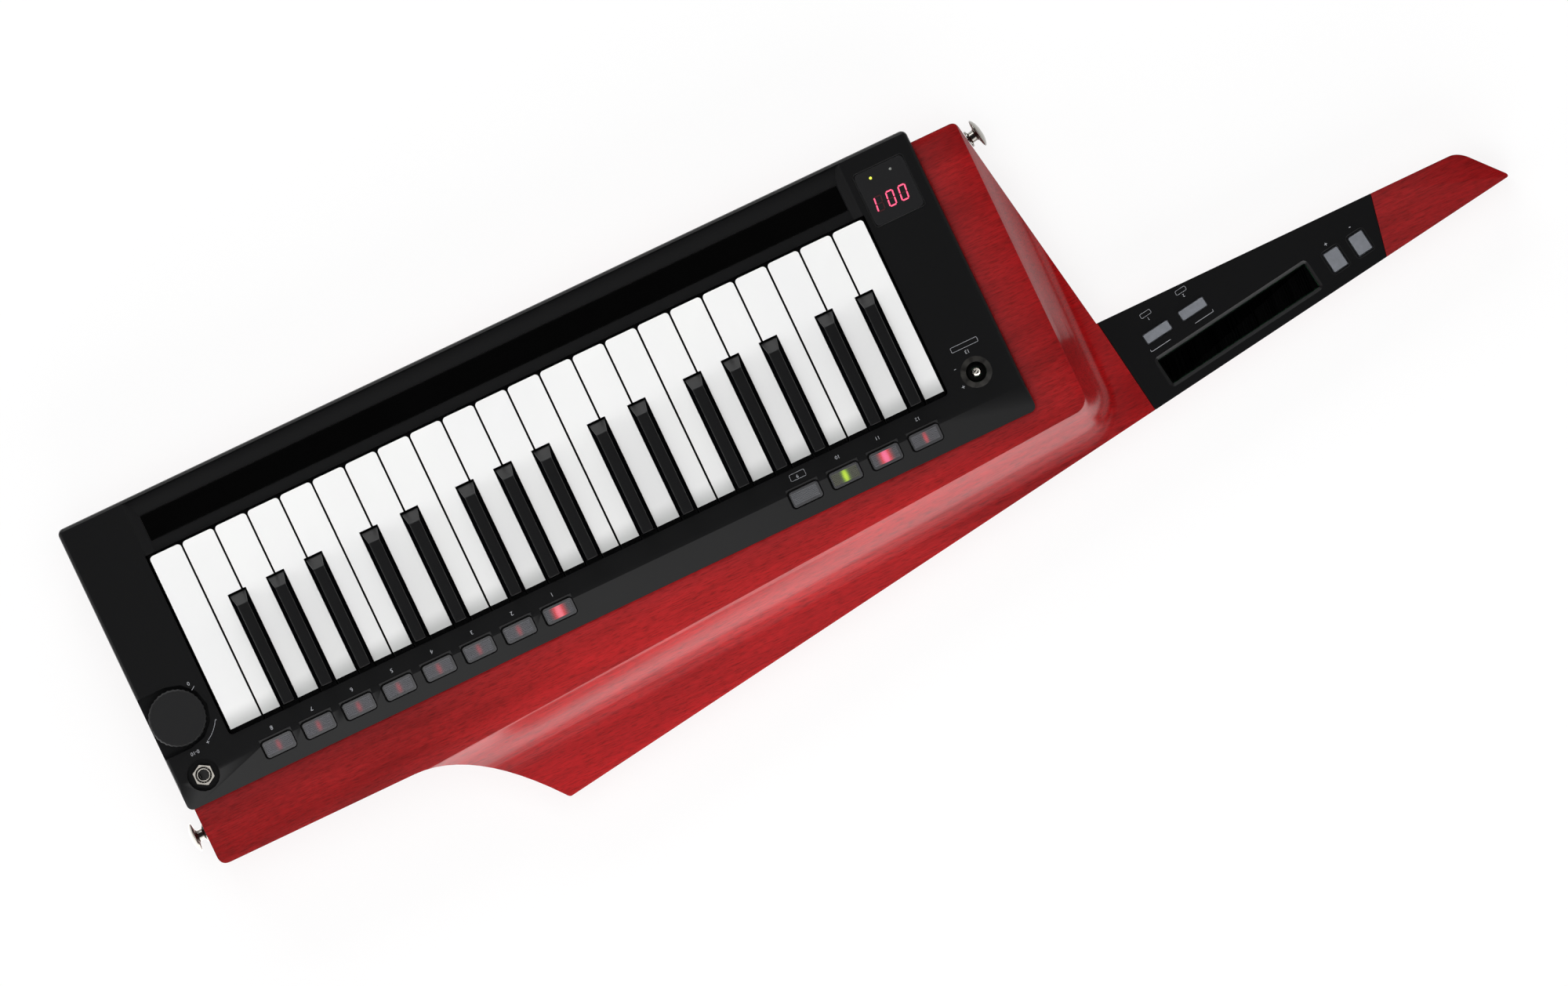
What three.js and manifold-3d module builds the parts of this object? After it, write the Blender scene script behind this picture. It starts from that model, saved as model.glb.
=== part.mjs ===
// Keytar: a shoulder-worn keyboard with a stained wooden body that runs through into its neck,
// a black control panel with 37 sprung mini keys, and a neck cover with a second touch strip.
//
// Units are millimetres. +Z points out of the playing face, +Y away from the player, and +X from
// the neck towards the tail. A size whose name ends in FromTail runs from the panel's tail edge
// towards the neck, and one that ends in FromFront runs back from the panel's front edge.

import * as THREE from 'three';
import { mergeVertices } from 'three/addons/utils/BufferGeometryUtils.js';
import Module from 'manifold-3d';

const wasm = await Module();
wasm.setup();

// Fits shared by all pieces
const seatGap = 0.3;
const cutOverrun = 5;
const arcSteps = 3;
const smallArcSteps = 2;
const sweepSteps = 12;
const troughSteps = 4;
const roundSides = 18;

// Keys: white keys count from the neck, and each black key stands on a seam between two of them
const whiteKeyCount = 22;
const whitePitch = 20.53;
const keySideGap = 1.15;
const whiteLength = 108.8;
const whiteHeight = 13;
const whiteCorner = 2.2;
const keyWall = 1.6;
const keyTopWall = 1.8;
const keyRise = 2.5;
const blackWidth = 10;
const blackTopWidth = 6.4;
const blackSideGap = 0.7;
const blackFrontGap = 1.3;
const blackLength = 68.9;
const blackRise = 9;
const blackFlankDrop = 1.2;
const blackFrontRun = 6.6;

// Key hinge: a round rail under the keys' tails
const railRadius = 2;
const railWebWidth = 2.4;
const railBehindWell = 12.2;
const tailRoof = 1.1;
const tailReach = 3.5;
const tailBrace = 6;
const tailBraceRun = 6;
const keyTravelAngle = THREE.MathUtils.degToRad(3);

// Control panel, from its front edge to its rear edge
const frontLip = 1.9;
const troughFaceRun = 10.3;
const ribbonWidth = 15.6;
const ridgeWidth = 6.1;
const keyFrontGap = 1.6;
const keyRearGap = 2.8;
const rearFlat = 13.1;
const rearStrip = 16.3;

// Control panel, across its height and its wall
const panelWall = 2.5;
const panelRise = 8;
const panelFloorWall = 2;
const troughDrop = 4.6;
const troughPullShare = 0.07;
const troughSagShare = 0.75;
const rearDrop = 3.5;
const skirtDrop = 18;
const skirtFlange = 2.5;
const panelCorner = 3.6;
const panelEdgeRadius = 1.7;
const wellCorner = 2.5;
const wellWall = 1.6;
const wellSideGap = 1.3;
const neckColumn = 41.9;
const troughEndLip = 0.6;
const troughEndRun = 6.3;
const ribbonEndMargin = 0.6;

// Volume knob at the tail edge, turned on a shaft that stands in its potentiometer
const knobRadius = 16.6;
const knobHeight = 9.4;
const knobInset = 0.1;
const knobFlutes = 34;
const fluteDepth = 0.45;
const knobEdge = 0.8;
const knobShaftRadius = 3;
const knobShaftReach = 9;
const knobBeforeCrease = 35;
const pocketGap = 2.3;
const columnSpare = 0.35;

// Output jack
const jackFromTail = 16.3;
const jackBehindCrease = 0.7;
const jackRecessRadius = 9.4;
const jackBushRadius = 4.5;
const jackBoreRadius = 3.25;
const jackBushRise = 1.6;
const nutAcrossFlats = 11.2;
const nutHeight = 2.3;
const jackBodyWidth = 13;
const jackBodyDepth = 21;
const jackEndWall = 1.5;

// Buttons in the rear strip
const buttonPitch = 25.3;
const favouriteCount = 8;
const functionCount = 4;
const favouriteFromWell = 23.35;
const functionFromWell = 22.3;
const buttonWidth = 18.2;
const buttonDepth = 9.8;
const buttonCorner = 1.6;
const buttonBehindCrease = 3.5;
const buttonRise = 0.5;
const buttonGap = 0.45;
const buttonFlange = 0.9;
const flangeThickness = 1.2;
const bezelRim = 0.4;
const bezelLead = 1.9;

// Display window in the neck-side column
const windowWidth = 30.6;
const windowDepth = 32.2;
const windowCorner = 3;
const windowFromFront = 11.8;
const windowFromWell = 3.7;
const windowThickness = 1.6;
const windowLedge = 1.4;
const windowGap = 0.35;
const digitPlaceShare = 0.62;
const digitBlockWidth = 24;
const digitBlockDepth = 14;
const digitBlockHeight = 3.4;

// Sound lever in the neck-side column
const leverFromWell = 19.6;
const leverBeforeCrease = 18;
const leverRadius = 2.6;
const leverRise = 13;
const leverShankRadius = 1.8;
const leverFlareShare = 0.5;
const leverHoleRadius = 6;
const leverDishRadius = 9.2;
const leverDishDepth = 1.9;
const leverPivotLift = 2.2;
const axleRadius = 1.6;
const axleLength = 9;
const cradleWidth = 14;
const cradleDepth = 8;
const cradleRim = 0.9;

// Main board with its switches and the potentiometer
const boardThickness = 1.6;
const boardSetback = 2.2;
const boardMargin = 2;
const boardArm = 11;
const boardPad = 28;
const boardLeverReach = 42;
const switchSize = 6;
const switchHeight = 2.6;
const potSize = 14;
const potDepth = 7;
const boardPostRadius = 2.4;
const boardPostCount = 7;

// Keybed frame
const deckThickness = 2.5;
const deckBelowKeys = 8.3;
const frameWall = 2.5;
const frameFrontGap = 3;
const guideWidth = 8;
const guideDepth = 3;
const guideRise = 3;
const guideBehindFront = 5;
const blackGuideWidth = 3.6;
const blackGuideBehindFront = 9;

// Wooden body
const woodThickness = 50;
const wingThickness = 32;
const tailOverhang = 3;
const frontOverhang = 8.4;
const woodRearMargin = 35.8;
const woodNeckMargin = 28;
const woodCorner = 6;
const woodShoulderCorner = 4;
const pocketDepth = 38;
const pocketSideWall = 5;
const pocketFrontWall = 6;
const pocketRearWall = 6.2;
const pocketCorner = 6;
const creaseNeckMargin = 27.9;
const creaseRearMargin = 12.7;
const creaseSlope = THREE.MathUtils.degToRad(3.38);
const creaseCorner = 9;
const coveRearWidth = 23;
const coveNeckWidth = 17;
const coveSteps = 8;
const coveCornerSteps = 8;

// Horn, neck and headstock
const hornRootFromTail = 125.2;
const hornTipFromTail = 199.6;
const hornReach = 49.8;
const hornTipRadius = 1.5;
const hornTipSetbackShare = 1.5;
const hornPullShare = 0.476;
const neckRootDepth = 59.1;
const neckBeforeRear = 29.8;
const shoulderLean = 23.6;
const neckRootLean = 8.7;
const headJointLean = 7.2;
const headNoseFromJoint = 49.3;
const headNoseRun = 9.9;
const headNoseDrop = 4.9;
const headTipFromJoint = 76;
const headTipRadius = 2;

// Neck cover and what it holds, placed along the neck from its root and in from its rear edge
const neckCoverDepth = 16;
const neckWall = 2;
const neckCoverInset = 0.6;
const longRibbonLength = 100.2;
const longRibbonFromRoot = 17.6;
const longRibbonFromEdge = 7.1;
const longRibbonBevel = 1.8;
const ribbonThickness = 0.7;
const neckButtonWidth = 16.3;
const neckButtonDepth = 5.6;
const neckButtonFromRoot = 26.2;
const neckButtonPitch = 24.1;
const neckButtonFromEdge = 36.4;
const octaveWidth = 9;
const octaveDepth = 11.9;
const octaveFromRibbon = 16.3;
const octavePitch = 16.8;
const neckCoverEnd = 22.7;
const neckButtonRise = 0.8;
const neckButtonCorner = 0.8;
const neckBoardDrop = 5.4;
const neckBoardFromRoot = 7;
const neckBoardInset = 3.4;
const neckSwitchHeight = 1;
const neckSwitchDepth = 4;
const neckPostRadius = 2;

// Back cover over the battery bay
const bayFromTail = 150;
const bayLength = 240;
const bayWidth = 82;
const bayCorner = 6;
const coverLand = 7;
const coverThickness = 2.6;
const coverSink = 0.4;
const doorLength = 118;
const doorWidth = 62;
const doorGroove = 1;
const doorGrooveDepth = 0.8;
const doorCatchRadius = 7;

// Strap buttons
const pinFlangeRadius = 4.6;
const pinFlangeHeight = 1.2;
const pinWaistRadius = 2.9;
const pinWaistLength = 4.4;
const pinHeadRadius = 7.7;
const pinHeadEdge = 1;
const pinDome = 2.4;
const pinFaceRadius = 2.2;
const pinScrewRadius = 1.7;
const pinScrewLength = 16;
const tailPinBeforeRear = 21.2;
const tailPinHeight = 25;
const hornPinFromFront = 22.5;
const hornPinHeight = 20;

// Lines that follow from the sizes above, front to rear
const recessFront = frontLip + troughFaceRun;
const ribbonFront = recessFront + seatGap;
const recessRear = ribbonFront + ribbonWidth + seatGap;
const wellFront = recessRear + ridgeWidth;
const keyFront = wellFront + keyFrontGap;
const keyRear = keyFront + whiteLength;
const wellRear = keyRear + keyRearGap;
const crease = wellRear + rearFlat;
const panelDepth = crease + rearStrip;
const railFromFront = wellRear + railBehindWell;
const blackFront = keyRear - blackLength;
const woodRear = panelDepth + woodRearMargin;
const knobFromFront = crease - knobBeforeCrease;
const jackFromFront = crease + jackBehindCrease;
const leverFromFront = crease - leverBeforeCrease;
const neckFromFront = panelDepth - neckBeforeRear;
const tailPinFromFront = woodRear - tailPinBeforeRear;
const pocketFront = frontOverhang + pocketFrontWall;
const pocketRear = panelDepth - pocketRearWall;
const bayFromFront = (pocketFront + pocketRear - bayWidth) / 2;

// Lines along the length, from the tail
const knobFromTail = knobInset + knobRadius;
const pocketRadius = knobRadius + pocketGap;
const wellTail = knobFromTail + pocketRadius + panelFloorWall + wellWall + columnSpare;
const keysTail = wellTail + wellSideGap;
const keySpan = whiteKeyCount * whitePitch;
const ribbonInset = troughEndRun + ribbonEndMargin + seatGap;
const wellNeck = keysTail + keySpan + wellSideGap;
const panelLength = wellNeck + neckColumn;
const favouriteFromTail = wellTail + favouriteFromWell;
const functionFromTail = wellNeck - functionFromWell - (functionCount - 1) * buttonPitch;
const pocketTail = tailOverhang + pocketSideWall;
const pocketNeck = panelLength - panelWall - pocketSideWall;
const woodShoulder = panelLength + woodNeckMargin;
const neckRootFromTail = woodShoulder + shoulderLean;
const octaveFromRoot = longRibbonFromRoot + longRibbonLength + octaveFromRibbon;
const headJointFromTail = neckRootFromTail + octaveFromRoot + octavePitch + neckCoverEnd;
const headNoseFromTail = headJointFromTail + headNoseFromJoint;
const headTipFromTail = headJointFromTail + headTipFromJoint;

// Levels, up from the back
const panelBottom = woodThickness + seatGap;
const panelTop = woodThickness + panelRise;
const panelUnder = panelTop - panelWall;
const troughFloor = panelBottom + panelFloorWall;
const troughLevel = panelTop - troughDrop;
const skirtBottom = woodThickness - skirtDrop;
const keyTop = panelTop + keyRise;
const keySkirt = keyTop - whiteHeight;
const blackTop = keyTop + blackRise;
const railLevel = keySkirt - tailBrace;
const cupRadius = railRadius + seatGap;
const tailTop = railLevel + cupRadius + tailRoof;
const deckTop = keySkirt - deckBelowKeys;
const pocketFloor = woodThickness - pocketDepth;
const boardBottom = tailTop + 2 * seatGap + tailReach * Math.sin(keyTravelAngle);
const boardTop = boardBottom + boardThickness;
const stripSlope = rearDrop / rearStrip;
const stripAngle = Math.atan(stripSlope);

// Solid helpers
function solid(geometry) {
  const bare = geometry.clone();
  bare.deleteAttribute('normal');
  bare.deleteAttribute('uv');
  const merged = mergeVertices(bare);
  const mesh = new wasm.Mesh({
    numProp: 3,
    vertProperties: new Float32Array(merged.attributes.position.array),
    triVerts: new Uint32Array(merged.index.array),
  });
  return new wasm.Manifold(mesh);
}

function geometryOf(body) {
  const mesh = body.getMesh();
  const geometry = new THREE.BufferGeometry();
  geometry.setAttribute('position', new THREE.BufferAttribute(mesh.vertProperties, 3));
  geometry.setIndex(new THREE.BufferAttribute(mesh.triVerts, 1));
  return geometry;
}

function joined(first, ...others) {
  return others.reduce((body, other) => body.add(other), first);
}

function cutBy(body, ...cutters) {
  return cutters.reduce((rest, cutter) => rest.subtract(cutter), body);
}

// A point of a plan outline, from its two distances
function plan(fromTail, fromFront) {
  return new THREE.Vector2(-fromTail, fromFront);
}

// Moves each vertex of a geometry to the place that the given rule makes of its old one
function reshape(geometry, rule) {
  const places = geometry.attributes.position;
  for (let index = 0; index < places.count; index += 1) {
    places.setXYZ(index, ...rule(places.getX(index), places.getY(index), places.getZ(index)));
  }
  return geometry;
}

function slabGeometry(shape, bottom, top, curveSegments = arcSteps) {
  const geometry = new THREE.ExtrudeGeometry(shape, { depth: 1, bevelEnabled: false, curveSegments });
  return reshape(geometry, (x, y, z) => [x, y, z > 0 ? top : bottom]);
}

function slab(shape, bottom, top, curveSegments = arcSteps) {
  return solid(slabGeometry(shape, bottom, top, curveSegments));
}

// A profile drawn in Y and Z, run along X
function bar(points, left, right) {
  const shape = new THREE.Shape(points.map(([y, z]) => new THREE.Vector2(y, z)));
  const geometry = new THREE.ExtrudeGeometry(shape, { depth: 1, bevelEnabled: false });
  return solid(reshape(geometry, (y, z, x) => [x > 0 ? right : left, y, z]));
}

function block(left, right, front, rear, bottom, top) {
  const place = (x, y, z) => [x > 0 ? right : left, y > 0 ? rear : front, z > 0 ? top : bottom];
  return solid(reshape(new THREE.BoxGeometry(1, 1, 1), place));
}

function post(x, y, radius, bottom, top, sides = roundSides) {
  const geometry = new THREE.CylinderGeometry(radius, radius, 1, sides);
  geometry.rotateX(Math.PI / 2);
  return solid(reshape(geometry, (across, along, up) => [x + across, y + along, up > 0 ? top : bottom]));
}

function roundedRect(left, right, front, rear, radius) {
  const shape = new THREE.Shape();
  shape.moveTo(left + radius, front);
  shape.lineTo(right - radius, front);
  shape.absarc(right - radius, front + radius, radius, -Math.PI / 2, 0);
  shape.lineTo(right, rear - radius);
  shape.absarc(right - radius, rear - radius, radius, 0, Math.PI / 2);
  shape.lineTo(left + radius, rear);
  shape.absarc(left + radius, rear - radius, radius, Math.PI / 2, Math.PI);
  shape.lineTo(left, front + radius);
  shape.absarc(left + radius, front + radius, radius, Math.PI, Math.PI * 1.5);
  return shape;
}

// Materials
function finish(color, roughness, metalness = 0) {
  return new THREE.MeshStandardMaterial({ color, roughness, metalness });
}

const stainedWood = finish(0x9e1b22, 0.45);
const blackPlastic = finish(0x1b1b1c, 0.55);
const ribbonFilm = finish(0x050505, 0.25);
const whiteKeyPlastic = finish(0xeeeeec, 0.3);
const blackKeyPlastic = finish(0x141414, 0.4);
const smokedWindow = finish(0x1e1e1f, 0.15);
const capPlastic = finish(0x5c5c60, 0.4);
const neckCapPlastic = finish(0x9a9ea6, 0.5);
const nickel = finish(0xcfcac2, 0.25, 1);
const circuitBoard = finish(0x1f5a34, 0.6);
const framePlastic = finish(0x2b2b2b, 0.6);
const knobPlastic = finish(0x202021, 0.6);

const keytar = new THREE.Group();

function addPart(name, geometry, material) {
  const mesh = new THREE.Mesh(geometry, material);
  mesh.name = name;
  keytar.add(mesh);
  return mesh;
}

// Wooden body: one through-neck outline, scooped along the wing, with the pocket routed from above
const hornTipFromFront = woodRear + hornReach;
const neckRootRearFromTail = neckRootFromTail + neckRootLean;
const rearLineFall = hornTipFromFront - neckFromFront - neckRootDepth;
const neckTaper = Math.atan(rearLineFall / (neckRootRearFromTail - hornTipFromTail));

function rearLineAt(fromTail) {
  return hornTipFromFront - (fromTail - hornTipFromTail) * Math.tan(neckTaper);
}

const headJointRearFromTail = headJointFromTail - headJointLean;
const shoulderRun = neckFromFront - frontOverhang;
const shoulderAngle = Math.atan2(shoulderLean, shoulderRun);

function woodOutline() {
  const shape = new THREE.Shape();
  const start = plan(tailOverhang, frontOverhang + woodCorner);
  shape.moveTo(start.x, start.y);
  const toPoint = (fromTail, fromFront) => shape.lineTo(-fromTail, fromFront);
  toPoint(tailOverhang, woodRear - woodCorner);
  shape.quadraticCurveTo(-tailOverhang, woodRear, -tailOverhang - woodCorner, woodRear);
  toPoint(hornRootFromTail, woodRear);
  const pull = hornRootFromTail + hornPullShare * (hornTipFromTail - hornRootFromTail);
  shape.quadraticCurveTo(
    -pull,
    woodRear,
    -(hornTipFromTail - hornTipRadius),
    hornTipFromFront - hornTipSetbackShare * hornTipRadius,
  );
  const pastTip = hornTipFromTail + hornTipRadius;
  shape.quadraticCurveTo(-hornTipFromTail, hornTipFromFront, -pastTip, rearLineAt(pastTip));
  const beforeTip = headTipFromTail - headTipRadius;
  toPoint(beforeTip, rearLineAt(beforeTip));
  const noseEnd = headNoseFromTail + headNoseRun;
  const noseDrop = neckFromFront + headNoseDrop;
  shape.quadraticCurveTo(
    -headTipFromTail,
    rearLineAt(headTipFromTail),
    -(headTipFromTail - headTipRadius / 2),
    rearLineAt(headTipFromTail) - headTipRadius,
  );
  toPoint(noseEnd, noseDrop);
  const noseMiddle = headNoseFromTail + headNoseRun / 2;
  shape.quadraticCurveTo(-noseMiddle, neckFromFront, -headNoseFromTail, neckFromFront);
  toPoint(neckRootFromTail, neckFromFront);
  const pastShoulder = woodShoulder + woodShoulderCorner * Math.tan(shoulderAngle);
  const beforeShoulder = woodShoulder - woodShoulderCorner;
  toPoint(pastShoulder, frontOverhang + woodShoulderCorner);
  shape.quadraticCurveTo(-woodShoulder, frontOverhang, -beforeShoulder, frontOverhang);
  toPoint(tailOverhang + woodCorner, frontOverhang);
  shape.quadraticCurveTo(-tailOverhang, frontOverhang, start.x, start.y);
  return shape;
}

// The scoop's cutter: a box whose stations follow the crease round its corner, and whose
// underside is a parabola from the plateau down to the wing
function coveCutter() {
  const creaseNeck = panelLength + creaseNeckMargin;
  const creaseAtNeck = panelDepth + creaseRearMargin - creaseNeckMargin * Math.tan(creaseSlope);
  const turn = Math.PI / 2 - creaseSlope;
  const centreFromTail = creaseNeck - creaseCorner;
  const cornerSide = creaseCorner * (1 / Math.cos(creaseSlope) - Math.tan(creaseSlope));
  const centreFromFront = creaseAtNeck - cornerSide;
  const far = headTipFromTail;
  const stations = [];
  stations.push({ fromTail: centreFromTail, fromFront: -far, angle: turn });
  for (let step = 0; step <= coveCornerSteps; step += 1) {
    const angle = turn * (1 - step / coveCornerSteps);
    stations.push({ fromTail: centreFromTail, fromFront: centreFromFront, angle });
  }
  const run = centreFromTail + far;
  stations.push({
    fromTail: centreFromTail - run,
    fromFront: centreFromFront + run * Math.tan(creaseSlope),
    angle: 0,
  });
  const columns = coveSteps + 3;
  const geometry = new THREE.BoxGeometry(1, 1, 1, stations.length - 1, columns - 1, 1);
  const drop = woodThickness - wingThickness;
  return solid(reshape(geometry, (x, y, z) => {
    const station = stations[Math.round((x + 0.5) * (stations.length - 1))];
    const column = Math.round((y + 0.5) * (columns - 1));
    const share = (column - 1) / coveSteps;
    const lift = Math.max(1 - share, 0) ** 2;
    const neckShare = station.angle / turn;
    const coveWidth = coveRearWidth + neckShare * (coveNeckWidth - coveRearWidth);
    const across = column > coveSteps + 1 ? far : coveWidth * share;
    const direction = creaseSlope + station.angle;
    const reach = creaseCorner + across;
    return [
      -(station.fromTail + reach * Math.sin(direction)),
      station.fromFront + reach * Math.cos(direction),
      z > 0 ? woodThickness + 2 * cutOverrun : wingThickness + drop * lift,
    ];
  }));
}

function neckPlan(sideGap) {
  return [
    [neckRootFromTail + neckCoverInset + sideGap, neckFromFront],
    [headJointFromTail - sideGap, neckFromFront],
    [headJointRearFromTail - sideGap, rearLineAt(headJointRearFromTail - sideGap)],
    [
      neckRootRearFromTail + neckCoverInset + sideGap,
      rearLineAt(neckRootRearFromTail + neckCoverInset + sideGap),
    ],
  ];
}

// The room that the neck cover fills, run past both edges of the neck
function neckCoverRoom() {
  const [rootFront, headFront, headRear, rootRear] = neckPlan(0).map(([u, v]) => plan(u, v));
  const past = cutOverrun;
  const extend = (from, to) => to.clone().add(to.clone().sub(from).setLength(past));
  const shape = new THREE.Shape([
    extend(rootRear, rootFront),
    extend(headRear, headFront),
    extend(headFront, headRear),
    extend(rootFront, rootRear),
  ]);
  return slab(shape, wingThickness - neckCoverDepth - seatGap, wingThickness + cutOverrun);
}

const bayShape = (grow) => roundedRect(
  -(bayFromTail + bayLength + grow),
  -(bayFromTail - grow),
  bayFromFront - grow,
  bayFromFront + bayWidth + grow,
  bayCorner + grow,
);

// Strap button axes: where each stands on the wood's side, and which way it points
const tailPin = {
  place: new THREE.Vector3(-tailOverhang, tailPinFromFront, tailPinHeight),
  turn: 0,
};
const hornPinFromTail = woodShoulder + (hornPinFromFront - frontOverhang) * Math.tan(shoulderAngle);
const hornPin = {
  place: new THREE.Vector3(-hornPinFromTail, hornPinFromFront, hornPinHeight),
  turn: Math.PI + shoulderAngle,
};

function alongPin(geometry, pin) {
  geometry.rotateZ(-Math.PI / 2);
  geometry.rotateZ(pin.turn);
  return geometry.translate(pin.place.x, pin.place.y, pin.place.z);
}

function pinHole(pin) {
  const depth = pinScrewLength + seatGap;
  const hole = new THREE.CylinderGeometry(
    pinScrewRadius + seatGap,
    pinScrewRadius + seatGap,
    depth + cutOverrun,
    roundSides / 2,
  );
  hole.translate(0, (cutOverrun - depth) / 2, 0);
  return solid(alongPin(hole, pin));
}

function makeWoodBody() {
  const pocket = slab(
    roundedRect(-pocketNeck, -pocketTail, pocketFront, pocketRear, pocketCorner),
    pocketFloor,
    woodThickness + cutOverrun,
  );
  const bay = slab(bayShape(0), -cutOverrun, pocketFloor + cutOverrun);
  const land = slab(bayShape(coverLand), -cutOverrun, coverSink + coverThickness + seatGap);
  return cutBy(
    slab(woodOutline(), 0, woodThickness, sweepSteps),
    coveCutter(),
    pocket,
    bay,
    land,
    neckCoverRoom(),
    pinHole(tailPin),
    pinHole(hornPin),
  );
}

addPart('wood_body', geometryOf(makeWoodBody()), stainedWood);

// Back cover: a plate let into the back over the bay, with the battery door's line and finger catch
function makeBackCover() {
  const plate = slab(bayShape(coverLand - seatGap), coverSink, coverSink + coverThickness);
  const doorNeck = -(bayFromTail + (bayLength + doorLength) / 2);
  const doorTail = doorNeck + doorLength;
  const doorFront = bayFromFront + (bayWidth - doorWidth) / 2;
  const doorRear = doorFront + doorWidth;
  const grooveTop = coverSink + doorGrooveDepth;
  const door = roundedRect(doorNeck, doorTail, doorFront, doorRear, bayCorner);
  const outer = slab(door, -cutOverrun, grooveTop);
  const inner = slab(
    roundedRect(
      doorNeck + doorGroove,
      doorTail - doorGroove,
      doorFront + doorGroove,
      doorRear - doorGroove,
      bayCorner - doorGroove,
    ),
    -2 * cutOverrun,
    grooveTop + cutOverrun,
  );
  const doorMiddle = (doorFront + doorRear) / 2;
  const catchDish = post(doorTail, doorMiddle, doorCatchRadius, -cutOverrun, grooveTop);
  return cutBy(plate, cutBy(outer, inner), catchDish);
}

addPart('back_cover', geometryOf(makeBackCover()), framePlastic);

// Buttons of the rear strip lie in its tilted plane, with the crease as that plane's origin line
function onStrip(geometry, fromTail) {
  geometry.rotateX(-stripAngle);
  return geometry.translate(-fromTail, crease, panelTop);
}

const rowOf = (first, count) => Array.from({ length: count }, (_, n) => first + n * buttonPitch);
const favouritePlaces = rowOf(favouriteFromTail, favouriteCount);
const functionPlaces = rowOf(functionFromTail, functionCount);
const capFront = buttonBehindCrease - buttonDepth / 2;
const capRear = buttonBehindCrease + buttonDepth / 2;

function buttonHole(fromTail) {
  const half = buttonWidth / 2 + buttonGap;
  const front = capFront - buttonGap;
  const shape = roundedRect(-half, half, front, capRear + buttonGap, buttonCorner + buttonGap);
  return solid(onStrip(slabGeometry(shape, -2 * panelRise, cutOverrun, smallArcSteps), fromTail));
}

// The raised rim ahead of the crease keeps each button's surround level with the strip
function buttonBezel(fromTail) {
  const half = buttonWidth / 2 + buttonGap + bezelRim;
  const front = crease + capFront * Math.cos(stripAngle) - bezelLead;
  const embed = panelWall / 2;
  return bar(
    [
      [front, panelTop - embed],
      [crease + embed, panelTop - embed],
      [crease + embed, panelTop - embed * stripSlope],
      [front, panelTop + (crease - front) * stripSlope],
    ],
    -fromTail - half,
    -fromTail + half,
  );
}

// Knob pocket: round behind the knob and open to the tail edge
function pocketShape(radius, tailEnd) {
  const shape = new THREE.Shape();
  shape.moveTo(tailEnd, knobFromFront + radius);
  shape.lineTo(-knobFromTail, knobFromFront + radius);
  shape.absarc(-knobFromTail, knobFromFront, radius, Math.PI / 2, Math.PI * 1.5);
  shape.lineTo(tailEnd, knobFromFront - radius);
  return shape;
}

const leverFromTail = wellNeck + leverFromWell;
const windowTail = wellNeck + windowFromWell;
const windowShape = (inset) => roundedRect(
  -(windowTail + windowWidth - inset),
  -(windowTail + inset),
  windowFromFront + inset,
  windowFromFront + windowDepth - inset,
  Math.max(windowCorner - inset, windowGap),
);

// The trough in front of the keys: a hollow front face, leaning ends and the touch strip's recess
function troughCutter() {
  const above = panelTop + cutOverrun;
  const face = new THREE.QuadraticBezierCurve(
    new THREE.Vector2(frontLip, panelTop),
    new THREE.Vector2(
      frontLip + troughPullShare * troughFaceRun,
      panelTop - troughSagShare * troughDrop,
    ),
    new THREE.Vector2(recessFront, troughLevel),
  );
  const troughRear = wellFront + keyFrontGap;
  const lengthwise = bar(
    [
      [frontLip, above],
      ...face.getPoints(troughSteps).map((point) => point.toArray()),
      [troughRear, troughLevel],
      [troughRear, above],
    ],
    -panelLength,
    0,
  );
  const ends = new THREE.Shape([
    new THREE.Vector2(troughEndLip - wellNeck, above),
    new THREE.Vector2(troughEndLip - wellNeck, panelTop),
    new THREE.Vector2(troughEndRun - wellNeck, troughLevel),
    new THREE.Vector2(-wellTail - troughEndRun, troughLevel),
    new THREE.Vector2(-wellTail - troughEndLip, panelTop),
    new THREE.Vector2(-wellTail - troughEndLip, above),
  ]);
  const endGeometry = slabGeometry(ends, 0, panelDepth);
  endGeometry.rotateX(Math.PI / 2);
  endGeometry.translate(0, panelDepth, 0);
  const recess = block(
    -(wellNeck - ribbonInset + seatGap),
    -(wellTail + ribbonInset - seatGap),
    recessFront,
    recessRear,
    troughFloor,
    above,
  );
  return joined(lengthwise.intersect(solid(endGeometry)), recess);
}

// The panel's blank: its plan raised from the skirt, with the upper edge rounded
function panelBlank() {
  const outline = roundedRect(-panelLength, 0, 0, panelDepth, panelCorner);
  const geometry = new THREE.ExtrudeGeometry(outline, {
    depth: panelTop - panelEdgeRadius - skirtBottom,
    bevelThickness: panelEdgeRadius,
    bevelSize: panelEdgeRadius,
    bevelOffset: -panelEdgeRadius,
    bevelSegments: smallArcSteps,
    curveSegments: arcSteps,
  });
  geometry.translate(0, 0, skirtBottom);
  const past = cutOverrun;
  const under = block(
    -panelLength - past,
    past,
    -past,
    panelDepth + past,
    skirtBottom - past,
    skirtBottom,
  );
  return cutBy(solid(geometry), under);
}

// The key well: an open box with rounded rear corners
function wellCutter() {
  const shape = new THREE.Shape();
  shape.moveTo(-wellNeck, wellFront);
  shape.lineTo(-wellTail, wellFront);
  shape.lineTo(-wellTail, wellRear - wellCorner);
  shape.absarc(-wellTail - wellCorner, wellRear - wellCorner, wellCorner, 0, Math.PI / 2);
  shape.lineTo(wellCorner - wellNeck, wellRear);
  shape.absarc(wellCorner - wellNeck, wellRear - wellCorner, wellCorner, Math.PI / 2, Math.PI);
  return slab(shape, skirtBottom, panelTop + cutOverrun);
}

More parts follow.
